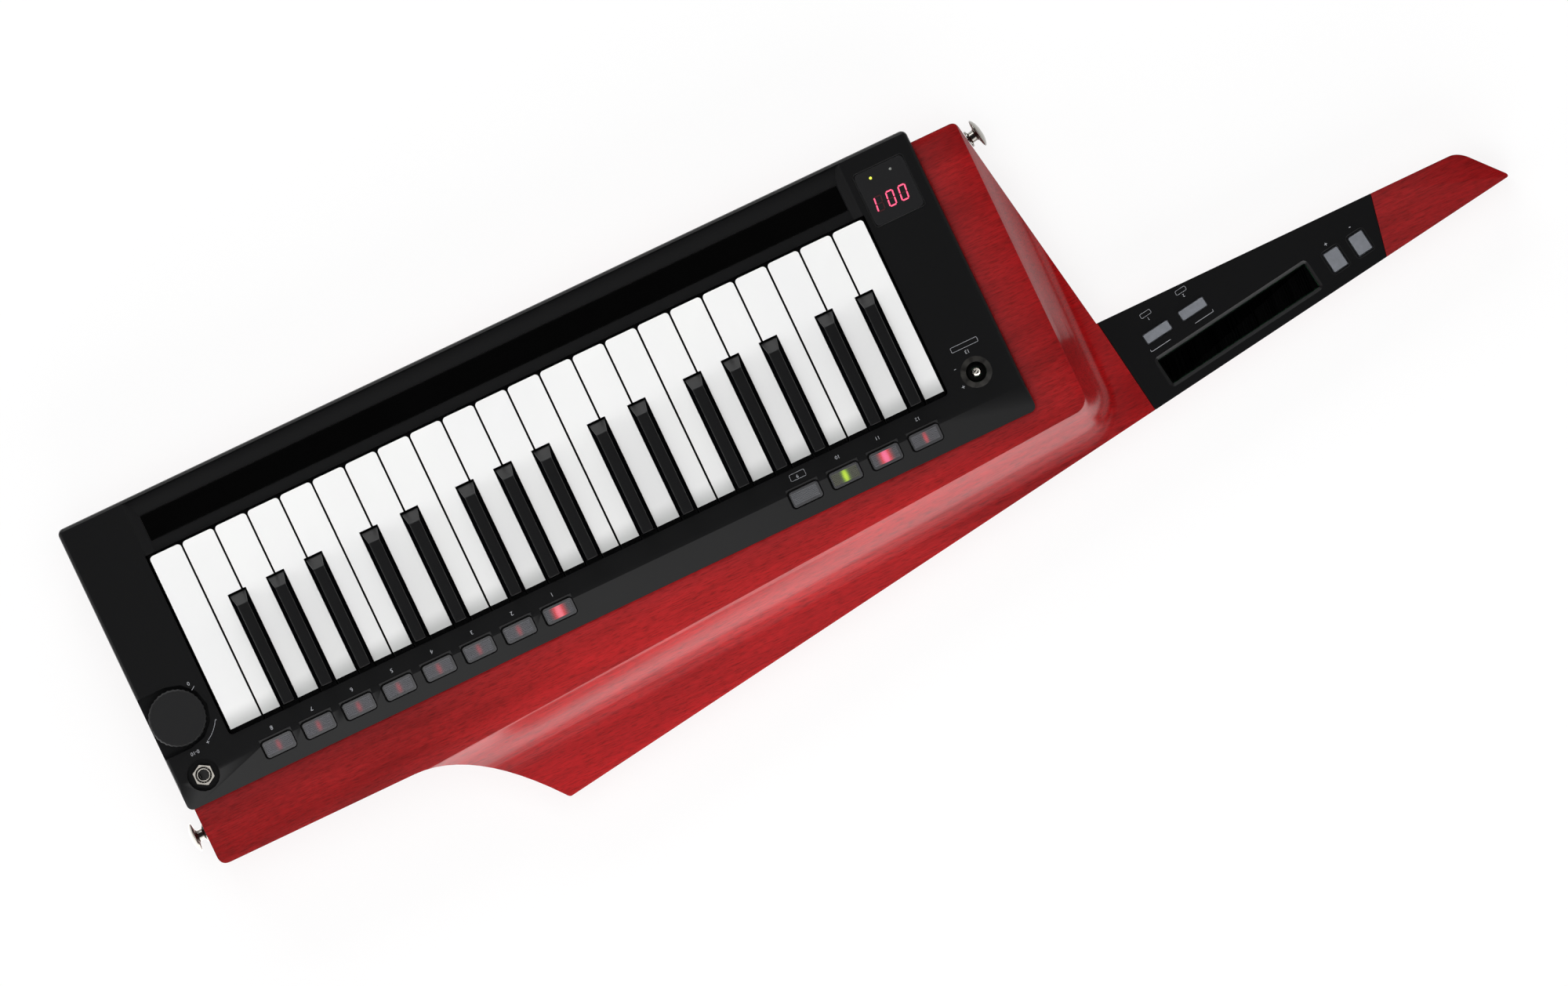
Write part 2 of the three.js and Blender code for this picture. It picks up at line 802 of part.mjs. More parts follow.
function makeControlPanel() {
  const tail = 0;
  const neck = -panelLength;
  const over = cutOverrun;
  const rearSlope = bar(
    [
      [crease - over, panelTop + over * stripSlope],
      [panelDepth + over, panelTop - (rearStrip + over) * stripSlope],
      [panelDepth + over, panelTop + over],
      [crease - over, panelTop + over],
    ],
    neck - over,
    tail + over,
  );
  const bezels = [...favouritePlaces, ...functionPlaces].map(buttonBezel);
  const shaped = joined(cutBy(panelBlank(), rearSlope, troughCutter()), ...bezels);

  // Inside: room for the wood below, and hollows under the rear strip, the columns and the front lip
  const woodRoom = block(
    neck - over,
    -(tailOverhang - seatGap),
    frontOverhang - seatGap,
    panelDepth + over,
    skirtBottom - over,
    panelBottom,
  );
  const rearWallFront = panelDepth - panelWall;
  const hollowRear = wellRear + wellWall;
  const under = (fromFront) => panelUnder - Math.max(fromFront - crease, 0) * stripSlope;
  const rearHollow = bar(
    [
      [hollowRear, panelBottom - over],
      [rearWallFront, panelBottom - over],
      [rearWallFront, under(rearWallFront)],
      [crease, panelUnder],
      [hollowRear, panelUnder],
    ],
    neck + panelWall,
    tail - panelWall,
  );
  const frontHollow = bar(
    [
      [panelWall, skirtBottom + skirtFlange],
      [frontOverhang, skirtBottom + skirtFlange],
      [frontOverhang, panelBottom],
      [panelWall, panelBottom],
    ],
    neck + panelWall,
    -(tailOverhang - seatGap),
  );
  const pocketWallRadius = pocketRadius + panelFloorWall;
  const recessWallRadius = jackRecessRadius + panelFloorWall;
  const recessWall = post(-jackFromTail, jackFromFront, recessWallRadius, 0, panelTop);
  const tailHollow = block(
    -(wellTail - wellWall),
    tail - panelWall,
    frontOverhang,
    hollowRear + over,
    panelBottom - over,
    panelUnder,
  );
  const neckHollow = block(
    neck + panelWall,
    -(wellNeck + wellWall),
    frontOverhang,
    hollowRear + over,
    panelBottom - over,
    panelUnder,
  );
  const pocketSolid = slab(pocketShape(pocketWallRadius, tail), 0, panelTop);
  const hollows = cutBy(joined(rearHollow, tailHollow, neckHollow), pocketSolid, recessWall);

  // Openings through the top: key well, knob pocket, jack recess, window, lever dish and buttons
  const pocket = slab(pocketShape(pocketRadius, tail + over), troughFloor, panelTop + over);
  const shaftHole = post(-knobFromTail, knobFromFront, knobShaftRadius + 2 * seatGap, 0, panelTop);
  const recess = post(-jackFromTail, jackFromFront, jackRecessRadius, troughFloor, panelTop + over);
  const bushHole = post(-jackFromTail, jackFromFront, jackBushRadius + seatGap, 0, panelTop);
  const windowSeat = slab(windowShape(-windowGap), panelTop - windowThickness - seatGap, panelTop + over);
  const windowHole = slab(windowShape(windowLedge), panelBottom, panelTop);
  const leverHole = post(-leverFromTail, leverFromFront, leverHoleRadius, panelBottom, panelTop);
  const dish = new THREE.CylinderGeometry(leverDishRadius, leverHoleRadius, leverDishDepth, roundSides);
  dish.rotateX(Math.PI / 2);
  dish.translate(-leverFromTail, leverFromFront, panelTop - leverDishDepth / 2);
  const holes = [...favouritePlaces, ...functionPlaces].map(buttonHole);
  const shell = cutBy(
    shaped, woodRoom, frontHollow, hollows, wellCutter(), pocket, shaftHole,
    recess, bushHole, windowSeat, windowHole, leverHole, solid(dish), ...holes,
  );

  // Screw posts that carry the main board, in a row ahead of the buttons
  const postRun = (keySpan - 2 * whitePitch) / (boardPostCount - 1);
  const posts = Array.from({ length: boardPostCount }, (_, n) => post(
    -(keysTail + whitePitch + n * postRun),
    hollowRear + boardPostRadius + seatGap,
    boardPostRadius,
    boardTop + seatGap,
    panelUnder + panelWall / 2,
    roundSides / 2,
  ));
  return joined(shell, ...posts);
}

addPart('control_panel', geometryOf(makeControlPanel()), blackPlastic);

// Short touch strip on the trough's floor
addPart('short_ribbon', geometryOf(block(
  -(wellNeck - ribbonInset),
  -(wellTail + ribbonInset),
  ribbonFront,
  ribbonFront + ribbonWidth,
  troughFloor + seatGap,
  troughFloor + seatGap + ribbonThickness,
)), ribbonFilm);

// Display window: a smoked plate on its ledge, with the digit block behind it
function makeDisplayWindow() {
  const plateBottom = panelTop - windowThickness;
  const middleX = -(windowTail + windowWidth / 2);
  const middleY = windowFromFront + windowDepth * digitPlaceShare;
  const plate = slab(windowShape(0), plateBottom, panelTop);
  const digits = block(
    middleX - digitBlockWidth / 2,
    middleX + digitBlockWidth / 2,
    middleY - digitBlockDepth / 2,
    middleY + digitBlockDepth / 2,
    plateBottom - digitBlockHeight,
    panelTop - windowThickness / 2,
  );
  return joined(plate, digits);
}

addPart('display_window', geometryOf(makeDisplayWindow()), smokedWindow);

// Output jack: body below the panel, bushing through it, hexagon nut on top, one long bore
function makeOutputJack() {
  const floorTop = troughFloor;
  const nutTop = floorTop + seatGap + nutHeight;
  const bodyTop = panelBottom - seatGap;
  const half = jackBodyWidth / 2;
  const body = block(
    -jackFromTail - half,
    -jackFromTail + half,
    jackFromFront - half,
    jackFromFront + half,
    bodyTop - jackBodyDepth,
    bodyTop,
  );
  const bushTop = nutTop + jackBushRise;
  const bush = post(-jackFromTail, jackFromFront, jackBushRadius, bodyTop - jackEndWall, bushTop);
  const nutRadius = nutAcrossFlats / Math.sqrt(3);
  const nut = post(-jackFromTail, jackFromFront, nutRadius, floorTop + seatGap, nutTop, 6);
  const bore = post(
    -jackFromTail,
    jackFromFront,
    jackBoreRadius,
    bodyTop - jackBodyDepth + jackEndWall,
    panelTop + cutOverrun,
  );
  return cutBy(joined(body, bush, nut), bore);
}

addPart('output_jack', geometryOf(makeOutputJack()), nickel);

// Button caps: a cap through the strip and a flange that holds it under the panel
const flangeTop = -(panelWall + buttonFlange + seatGap + panelWall * stripSlope);

function capOnStrip(fromTail) {
  const half = buttonWidth / 2;
  const shape = roundedRect(-half, half, capFront, capRear, buttonCorner);
  const foot = flangeTop - flangeThickness / 2;
  return solid(onStrip(slabGeometry(shape, foot, buttonRise, smallArcSteps), fromTail));
}

function flangeOnStrip(firstFromTail, lastFromTail) {
  const half = buttonWidth / 2 + buttonGap + buttonFlange;
  const shape = roundedRect(
    -(lastFromTail - firstFromTail) - half,
    half,
    capFront - buttonFlange,
    capRear + buttonFlange / 2,
    buttonCorner,
  );
  const foot = flangeTop - flangeThickness;
  return solid(onStrip(slabGeometry(shape, foot, flangeTop, smallArcSteps), firstFromTail));
}

const favouriteStrip = joined(
  flangeOnStrip(favouritePlaces[0], favouritePlaces[favouriteCount - 1]),
  ...favouritePlaces.map(capOnStrip),
);
addPart('favourite_buttons', geometryOf(favouriteStrip), capPlastic);

const functionNames = ['tempo_button', 'arpeggio_button', 'ribbon_button', 'shift_button'];
functionPlaces.toReversed().forEach((fromTail, n) => {
  const cap = joined(flangeOnStrip(fromTail, fromTail), capOnStrip(fromTail));
  addPart(functionNames[n], geometryOf(cap), capPlastic);
});

// Volume knob: fluted disc with a chamfered rim on its shaft
function makeVolumeKnob() {
  const shape = new THREE.Shape();
  const rimRadius = knobRadius - knobEdge;
  for (let n = 0; n < 2 * knobFlutes; n += 1) {
    const radius = rimRadius - (n % 2) * fluteDepth;
    const angle = (n / knobFlutes) * Math.PI;
    const point = new THREE.Vector2(radius * Math.cos(angle), radius * Math.sin(angle));
    if (n === 0) {
      shape.moveTo(point.x, point.y);
    } else {
      shape.lineTo(point.x, point.y);
    }
  }
  const disc = new THREE.ExtrudeGeometry(shape, {
    depth: knobHeight - 2 * knobEdge,
    bevelThickness: knobEdge,
    bevelSize: knobEdge,
    bevelSegments: 1,
  });
  const knobBottom = troughFloor + 2 * seatGap;
  disc.translate(-knobFromTail, knobFromFront, knobBottom + knobEdge);
  const shaft = post(
    -knobFromTail,
    knobFromFront,
    knobShaftRadius,
    boardBottom - knobShaftReach / 2,
    knobBottom + knobHeight / 2,
  );
  return joined(solid(disc), shaft);
}

addPart('volume_knob', geometryOf(makeVolumeKnob()), knobPlastic);

// Sound lever: a bat with a domed tip on a cross axle
const leverPivotLevel = boardTop + leverPivotLift;

function makeSoundLever() {
  const domeBase = panelTop + leverRise - leverRadius;
  const outline = [
    new THREE.Vector2(0, leverPivotLevel),
    new THREE.Vector2(leverShankRadius, leverPivotLevel),
    new THREE.Vector2(leverShankRadius, panelTop),
    new THREE.Vector2(leverRadius, panelTop + leverRise * leverFlareShare),
  ];
  for (let step = 0; step <= arcSteps; step += 1) {
    const angle = (step / arcSteps) * (Math.PI / 2);
    const rise = leverRadius * Math.sin(angle);
    outline.push(new THREE.Vector2(leverRadius * Math.cos(angle), domeBase + rise));
  }
  outline[outline.length - 1].x = 0;
  const bat = new THREE.LatheGeometry(outline, roundSides / 2 + 2);
  bat.rotateX(Math.PI / 2);
  bat.translate(-leverFromTail, leverFromFront, 0);
  const axle = new THREE.CylinderGeometry(axleRadius, axleRadius, axleLength, roundSides / 2 + 2);
  axle.rotateZ(Math.PI / 2);
  axle.translate(-leverFromTail, leverFromFront, leverPivotLevel);
  return joined(solid(bat), solid(axle));
}

addPart('sound_lever', geometryOf(makeSoundLever()), nickel);

// Main board: a strip behind the keys, with an arm to the potentiometer and one to the lever
function makeMainBoard() {
  const front = wellRear + boardSetback;
  const rear = pocketRear - boardMargin;
  const tailEdge = wellTail - boardArm - boardSetback;
  const shape = new THREE.Shape([
    plan(tailEdge, rear),
    plan(pocketNeck - boardMargin, rear),
    plan(pocketNeck - boardMargin, leverFromFront - boardLeverReach / 2),
    plan(wellNeck + boardSetback, leverFromFront - boardLeverReach / 2),
    plan(wellNeck + boardSetback, front),
    plan(wellTail - boardSetback, front),
    plan(wellTail - boardSetback, knobFromFront - boardPad / 2),
    plan(pocketTail + boardMargin, knobFromFront - boardPad / 2),
    plan(pocketTail + boardMargin, knobFromFront + boardPad / 2),
    plan(tailEdge, knobFromFront + boardPad / 2),
  ]);
  const board = slab(shape, boardBottom, boardTop);
  const pot = block(
    -knobFromTail - potSize / 2,
    -knobFromTail + potSize / 2,
    knobFromFront - potSize / 2,
    knobFromFront + potSize / 2,
    boardBottom - potDepth,
    boardBottom + boardThickness / 2,
  );
  const shaftBore = post(
    -knobFromTail,
    knobFromFront,
    knobShaftRadius + seatGap,
    boardBottom - knobShaftReach / 2 - seatGap,
    boardTop + cutOverrun,
  );
  const switches = [...favouritePlaces, ...functionPlaces].map((fromTail) => block(
    -fromTail - switchSize / 2,
    -fromTail + switchSize / 2,
    crease + buttonBehindCrease - switchSize / 2,
    crease + buttonBehindCrease + switchSize / 2,
    boardTop - boardThickness / 2,
    boardTop + switchHeight,
  ));
  const cradle = block(
    -leverFromTail - cradleWidth / 2,
    -leverFromTail + cradleWidth / 2,
    leverFromFront - cradleDepth / 2,
    leverFromFront + cradleDepth / 2,
    boardTop - boardThickness / 2,
    leverPivotLevel + cradleRim,
  );
  const axleBed = new THREE.CylinderGeometry(
    axleRadius + seatGap,
    axleRadius + seatGap,
    axleLength + 2 * seatGap,
    roundSides / 2 + 2,
  );
  axleBed.rotateZ(Math.PI / 2);
  axleBed.translate(-leverFromTail, leverFromFront, leverPivotLevel);
  const axleWay = block(
    -leverFromTail - axleLength / 2 - seatGap,
    -leverFromTail + axleLength / 2 + seatGap,
    leverFromFront - axleRadius - seatGap,
    leverFromFront + axleRadius + seatGap,
    leverPivotLevel,
    leverPivotLevel + cradleRim + cutOverrun,
  );
  const batWay = block(
    -leverFromTail - leverRadius,
    -leverFromTail + leverRadius,
    leverFromFront - leverRadius,
    leverFromFront + leverRadius,
    leverPivotLevel,
    leverPivotLevel + cradleRim + cutOverrun,
  );
  return cutBy(joined(board, pot, cradle, ...switches), shaftBore, solid(axleBed), axleWay, batWay);
}

addPart('main_board', geometryOf(makeMainBoard()), circuitBoard);

// Keys. The octave's steps give each key's name, the white key it counts from, and for a black key
// how far its middle stands off the seam, as a share of the white pitch.
const octave = [
  { name: 'c', white: 0 },
  { name: 'c_sharp', white: 0, shiftShare: -0.12 },
  { name: 'd', white: 1 },
  { name: 'd_sharp', white: 1, shiftShare: 0.12 },
  { name: 'e', white: 2 },
  { name: 'f', white: 3 },
  { name: 'f_sharp', white: 3, shiftShare: -0.17 },
  { name: 'g', white: 4 },
  { name: 'g_sharp', white: 4, shiftShare: 0 },
  { name: 'a', white: 5 },
  { name: 'a_sharp', white: 5, shiftShare: 0.17 },
  { name: 'b', white: 6 },
];
const whitesPerOctave = 7;
const lowEdge = -(keysTail + keySpan);

const keys = [];
for (let note = 0; ; note += 1) {
  const step = octave[note % octave.length];
  const white = Math.floor(note / octave.length) * whitesPerOctave + step.white;
  const isBlack = step.shiftShare !== undefined;
  if (white >= whiteKeyCount || (isBlack && white >= whiteKeyCount - 1)) {
    break;
  }
  const number = String(note + 1).padStart(2, '0');
  const middle = lowEdge + (white + 1 + (step.shiftShare ?? 0)) * whitePitch;
  keys.push({ name: `key_${number}_${step.name}`, white, isBlack, middle });
}

const blackAtSeam = new Map(keys.filter((key) => key.isBlack).map((key) => [key.white, key.middle]));
const tailRear = railFromFront + tailReach;
const webFront = keyRear - keyWall - tailBraceRun / 2;

// Side view shared by all keys: the tail steps down and cups the hinge rail
function keySide(front, top, frontRun) {
  const points = [
    [front, keySkirt],
    [front, keyTop],
  ];
  if (top > keyTop) {
    points.push([front + frontRun, top]);
  }
  points.push([keyRear, top], [keyRear, tailTop], [tailRear, tailTop], [tailRear, railLevel]);
  const cupSteps = 2 * arcSteps;
  for (let step = 0; step <= cupSteps; step += 1) {
    const angle = (step / cupSteps) * Math.PI;
    points.push([
      railFromFront + cupRadius * Math.cos(angle),
      railLevel + cupRadius * Math.sin(angle),
    ]);
  }
  points.push([webFront, railLevel], [webFront - tailBraceRun, keySkirt]);
  return points;
}

function makeWhiteKey(key) {
  const left = lowEdge + key.white * whitePitch + keySideGap / 2;
  const right = left + whitePitch - keySideGap;
  const halfSlot = blackWidth / 2 + blackSideGap;
  const blackLeft = blackAtSeam.get(key.white - 1);
  const blackRight = blackAtSeam.get(key.white);
  const backLeft = blackLeft === undefined ? left : blackLeft + halfSlot;
  const backRight = blackRight === undefined ? right : blackRight - halfSlot;
  const notch = blackFront - blackFrontGap;
  const head = roundedRect(left, right, keyFront, notch, whiteCorner);
  const squareRear = block(left, right, (keyFront + notch) / 2, notch, railLevel, keyTop);
  const headSolid = joined(slab(head, railLevel, keyTop), squareRear);
  const neck = block(backLeft, backRight, (keyFront + notch) / 2, tailRear, railLevel, keyTop);
  const side = bar(keySide(keyFront, keyTop, 0), left, right);
  const ceiling = keyTop - keyTopWall;
  const headHollow = block(
    left + keyWall,
    right - keyWall,
    keyFront + keyWall,
    notch - keyWall,
    railLevel - cutOverrun,
    ceiling,
  );
  const neckHollow = block(
    backLeft + keyWall,
    backRight - keyWall,
    notch - 2 * keyWall,
    webFront - tailBraceRun - keyWall,
    railLevel - cutOverrun,
    ceiling,
  );
  return cutBy(joined(headSolid, neck).intersect(side), headHollow, neckHollow);
}

function makeBlackKey(key) {
  const half = blackWidth / 2;
  const left = key.middle - half;
  const right = key.middle + half;
  const over = cutOverrun;
  const side = bar(keySide(blackFront, blackTop, blackFrontRun), left - over, right + over);
  const lean = (blackWidth - blackTopWidth) / 2 / (blackRise + blackFlankDrop);
  const aboveTop = (blackRise + blackFlankDrop + over) * lean;
  const section = new THREE.Shape([
    new THREE.Vector2(left, railLevel - over),
    new THREE.Vector2(right, railLevel - over),
    new THREE.Vector2(right, keyTop - blackFlankDrop),
    new THREE.Vector2(right - aboveTop, blackTop + over),
    new THREE.Vector2(left + aboveTop, blackTop + over),
    new THREE.Vector2(left, keyTop - blackFlankDrop),
  ]);
  const flanks = new THREE.ExtrudeGeometry(section, { depth: 1, bevelEnabled: false });
  reshape(flanks, (x, z, y) => [x, y > 0 ? blackFront - over : tailRear + over, z]);
  const hollow = block(
    left + keyWall,
    right - keyWall,
    blackFront + keyWall,
    webFront - tailBraceRun - keyWall,
    railLevel - cutOverrun,
    keyTop,
  );
  return cutBy(side.intersect(solid(flanks)), hollow);
}

keys.forEach((key) => {
  const body = key.isBlack ? makeBlackKey(key) : makeWhiteKey(key);
  addPart(key.name, geometryOf(body), key.isBlack ? blackKeyPlastic : whiteKeyPlastic);
});

// Keybed frame: a channel with the hinge rail along its rear and a guide post inside every key
function makeKeybedFrame() {
  const left = lowEdge - seatGap;
  const right = -keysTail + seatGap;
  const front = keyFront - frameFrontGap;
  const rear = tailRear + frameWall;
  const deckBottom = deckTop - deckThickness;
  const foot = pocketFloor + seatGap;
  const channel = bar(
    [
      [front, foot],
      [front + frameWall, foot],
      [front + frameWall, deckBottom],
      [rear - frameWall, deckBottom],
      [rear - frameWall, foot],
      [rear, foot],
      [rear, deckTop],
      [front, deckTop],
    ],
    left,
    right,
  );
  const web = block(
    left,
    right,
    railFromFront - railWebWidth / 2,
    railFromFront + railWebWidth / 2,
    deckTop - deckThickness / 2,
    railLevel,
  );
  const rail = new THREE.CylinderGeometry(railRadius, railRadius, right - left, 4 * arcSteps);
  rail.rotateZ(Math.PI / 2);
  rail.translate((left + right) / 2, railFromFront, railLevel);
  const guides = keys.map((key) => {
    const width = key.isBlack ? blackGuideWidth : guideWidth;
    const middle = key.isBlack ? key.middle : lowEdge + key.white * whitePitch + whitePitch / 2;
    const guideFront = key.isBlack ? blackFront + blackGuideBehindFront : keyFront + guideBehindFront;
    return block(
      middle - width / 2,
      middle + width / 2,
      guideFront,
      guideFront + guideDepth,
      deckTop - deckThickness / 2,
      keySkirt + guideRise,
    );
  });
  return joined(channel, web, solid(rail), ...guides);
}

addPart('keybed_frame', geometryOf(makeKeybedFrame()), framePlastic);

// Neck cover and what it holds. The neck's own frame has its X along the rear edge towards the
// tail and its Y back towards that edge, with its origin at the rear end of the neck's root.
const neckFrame = new THREE.Matrix4()
  .makeTranslation(-neckRootRearFromTail, rearLineAt(neckRootRearFromTail), 0)
  .multiply(new THREE.Matrix4().makeRotationZ(neckTaper));

function onNeck(geometry) {
  return solid(geometry.applyMatrix4(neckFrame));
}

function neckRect(fromRoot, fromEdge, width, depth, radius, grow = 0) {
  return roundedRect(
    -(fromRoot + width + grow),
    -(fromRoot - grow),
    -(fromEdge + depth + grow),
    -(fromEdge - grow),
    radius,
  );
}

const neckButtons = [
  { name: 'filter_button', fromRoot: neckButtonFromRoot, fromEdge: neckButtonFromEdge, long: true },
  {
    name: 'pitch_button',
    fromRoot: neckButtonFromRoot + neckButtonPitch,
    fromEdge: neckButtonFromEdge,
    long: true,
  },
  { name: 'octave_up_button', fromRoot: octaveFromRoot, long: false },
  { name: 'octave_down_button', fromRoot: octaveFromRoot + octavePitch, long: false },
];
const ribbonMiddleFromEdge = longRibbonFromEdge + ribbonWidth / 2;

function neckButtonRect(button, grow) {
  const width = button.long ? neckButtonWidth : octaveWidth;
  const depth = button.long ? neckButtonDepth : octaveDepth;
  const middle = button.fromEdge ?? ribbonMiddleFromEdge;
  return neckRect(
    button.fromRoot - width / 2,
    middle - depth / 2,
    width,
    depth,
    neckButtonCorner,
    grow,
  );
}

const neckUnder = wingThickness - neckWall;
const neckBottom = wingThickness - neckCoverDepth;
const neckBoardTop = wingThickness - neckBoardDrop;
const neckPosts = [
  [neckBoardFromRoot + 2 * neckPostRadius, neckButtonFromEdge - 2 * neckButtonDepth],
  [neckButtonFromRoot + 2 * neckButtonPitch, neckButtonFromEdge - neckButtonDepth],
  [octaveFromRoot - octaveWidth, longRibbonFromEdge + ribbonWidth + 2 * neckPostRadius],
];

function makeNeckCover() {
  const outline = new THREE.Shape(neckPlan(seatGap).map(([u, v]) => plan(u, v)));
  const [rootFront, headFront, headRear, rootRear] = neckPlan(seatGap + neckWall);
  const slope = Math.tan(neckTaper);
  const inner = new THREE.Shape([
    plan(rootFront[0], rootFront[1] + neckWall),
    plan(headFront[0] - neckWall * slope, headFront[1] + neckWall),
    plan(headRear[0], headRear[1] - neckWall / Math.cos(neckTaper)),
    plan(rootRear[0], rootRear[1] - neckWall / Math.cos(neckTaper)),
  ]);
  const shell = cutBy(
    slab(outline, neckBottom, wingThickness),
    slab(inner, neckBottom - cutOverrun, neckUnder),
  );
  const windowRect = (grow) => neckRect(
    longRibbonFromRoot,
    longRibbonFromEdge,
    longRibbonLength,
    ribbonWidth,
    longRibbonBevel / 2 + grow,
    grow,
  );
  const window = onNeck(slabGeometry(windowRect(seatGap), neckBottom, wingThickness + cutOverrun));
  const bevelled = new THREE.ExtrudeGeometry(windowRect(seatGap), {
    depth: cutOverrun,
    bevelThickness: longRibbonBevel,
    bevelSize: longRibbonBevel,
    bevelSegments: 1,
    curveSegments: arcSteps,
  });
  bevelled.translate(0, 0, wingThickness);
  const holes = neckButtons.map((button) => {
    const hole = neckButtonRect(button, buttonGap);
    return onNeck(slabGeometry(hole, neckBottom, wingThickness + cutOverrun, smallArcSteps));
  });
  const posts = neckPosts.map(([fromRoot, fromEdge]) => {
    const pillar = new THREE.CylinderGeometry(
      neckPostRadius,
      neckPostRadius,
      neckUnder - neckBoardTop + neckWall / 2 - seatGap,
      roundSides / 2,
    );
    pillar.rotateX(Math.PI / 2);
    pillar.translate(-fromRoot, -fromEdge, (neckUnder + neckWall / 2 + neckBoardTop + seatGap) / 2);
    return onNeck(pillar);
  });
  return joined(cutBy(shell, window, onNeck(bevelled), ...holes), ...posts);
}

addPart('neck_cover', geometryOf(makeNeckCover()), blackPlastic);

neckButtons.forEach((button) => {
  const flangeUp = neckUnder - seatGap;
  const cap = onNeck(slabGeometry(
    neckButtonRect(button, 0),
    flangeUp - flangeThickness,
    wingThickness + neckButtonRise,
    smallArcSteps,
  ));
  const flange = onNeck(slabGeometry(
    neckButtonRect(button, buttonGap + buttonFlange),
    flangeUp - flangeThickness,
    flangeUp,
    smallArcSteps,
  ));
  addPart(button.name, geometryOf(joined(cap, flange)), neckCapPlastic);
});

// Neck board: carries the long strip's film in its window and a switch under each neck button
function makeNeckBoard() {
  const boardLow = neckBoardTop - boardThickness;
  const reach = octaveFromRoot + octavePitch + octaveWidth / 2 + buttonFlange;
  const wide = neckButtonFromEdge + neckButtonDepth;
  const shape = new THREE.Shape([
    new THREE.Vector2(-neckBoardFromRoot, -neckBoardInset),
    new THREE.Vector2(-reach, -neckBoardInset),
    new THREE.Vector2(-reach, -(ribbonMiddleFromEdge + octaveDepth / 2)),
    new THREE.Vector2(-(octaveFromRoot - octaveWidth), -(neckButtonFromEdge - neckButtonDepth)),
    new THREE.Vector2(-(neckButtonFromRoot + 2 * neckButtonPitch), -wide),
    new THREE.Vector2(-neckBoardFromRoot, -wide),
  ]);
  const board = onNeck(slabGeometry(shape, boardLow, neckBoardTop));
  const film = onNeck(slabGeometry(
    neckRect(
      longRibbonFromRoot,
      longRibbonFromEdge,
      longRibbonLength,
      ribbonWidth,
      longRibbonBevel / 2,
    ),
    neckBoardTop - boardThickness / 2,
    neckUnder + seatGap,
  ));
  const switches = neckButtons.map((button) => {
    const middle = button.fromEdge ?? ribbonMiddleFromEdge;
    const height = neckSwitchHeight + boardThickness / 2;
    const body = new THREE.BoxGeometry(switchSize, neckSwitchDepth, height);
    body.translate(-button.fromRoot, -middle, neckBoardTop + neckSwitchHeight - height / 2);
    return onNeck(body);
  });
  return joined(board, film, ...switches);
}

addPart('neck_board', geometryOf(makeNeckBoard()), circuitBoard);

// Strap buttons: turned in one piece, with the screw that holds each in the wood
function makeStrapPin(pin) {
  const flangeOut = seatGap + pinFlangeHeight;
  const headIn = flangeOut + pinWaistLength;
  const face = headIn + pinHeadEdge + pinDome;
  const outline = [
    new THREE.Vector2(0, -pinScrewLength),
    new THREE.Vector2(pinScrewRadius, -pinScrewLength + pinScrewRadius),
    new THREE.Vector2(pinScrewRadius, seatGap),
    new THREE.Vector2(pinFlangeRadius, seatGap),
    new THREE.Vector2(pinFlangeRadius, flangeOut),
    new THREE.Vector2(pinWaistRadius, flangeOut + pinFlangeHeight / 2),
    new THREE.Vector2(pinWaistRadius, headIn - pinHeadEdge),
    new THREE.Vector2(pinHeadRadius, headIn),
    new THREE.Vector2(pinHeadRadius, headIn + pinHeadEdge),
    new THREE.Vector2((pinHeadRadius + pinFaceRadius) / 2, face - pinDome / 4),
    new THREE.Vector2(pinFaceRadius, face),
    new THREE.Vector2(0, face),
  ];
  return alongPin(new THREE.LatheGeometry(outline, roundSides), pin);
}

addPart('strap_pin_tail', geometryOf(solid(makeStrapPin(tailPin))), nickel);
addPart('strap_pin_horn', geometryOf(solid(makeStrapPin(hornPin))), nickel);

// Origin under the middle of the whole instrument
const bounds = new THREE.Box3().setFromObject(keytar);
const middle = bounds.getCenter(new THREE.Vector3());
keytar.position.set(-middle.x, -middle.y, -bounds.min.z);
keytar.updateMatrixWorld(true);

export default keytar;
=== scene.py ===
import math

import bpy
from mathutils import Matrix, Vector


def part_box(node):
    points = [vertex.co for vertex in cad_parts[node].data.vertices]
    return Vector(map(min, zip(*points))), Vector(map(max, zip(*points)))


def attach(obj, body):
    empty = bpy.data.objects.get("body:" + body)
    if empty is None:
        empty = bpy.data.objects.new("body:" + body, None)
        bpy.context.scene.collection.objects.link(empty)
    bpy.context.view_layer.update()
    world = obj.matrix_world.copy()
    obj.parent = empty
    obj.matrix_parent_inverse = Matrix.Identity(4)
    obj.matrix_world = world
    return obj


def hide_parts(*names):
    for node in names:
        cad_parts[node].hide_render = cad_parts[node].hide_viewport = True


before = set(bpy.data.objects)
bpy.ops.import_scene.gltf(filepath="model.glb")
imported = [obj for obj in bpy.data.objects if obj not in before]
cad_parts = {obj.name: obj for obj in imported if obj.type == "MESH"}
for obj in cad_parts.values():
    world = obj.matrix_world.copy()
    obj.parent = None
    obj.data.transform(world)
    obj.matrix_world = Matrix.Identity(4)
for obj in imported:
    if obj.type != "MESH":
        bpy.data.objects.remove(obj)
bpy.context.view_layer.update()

bpy.ops.object.select_all(action="DESELECT")
mm = 0.001

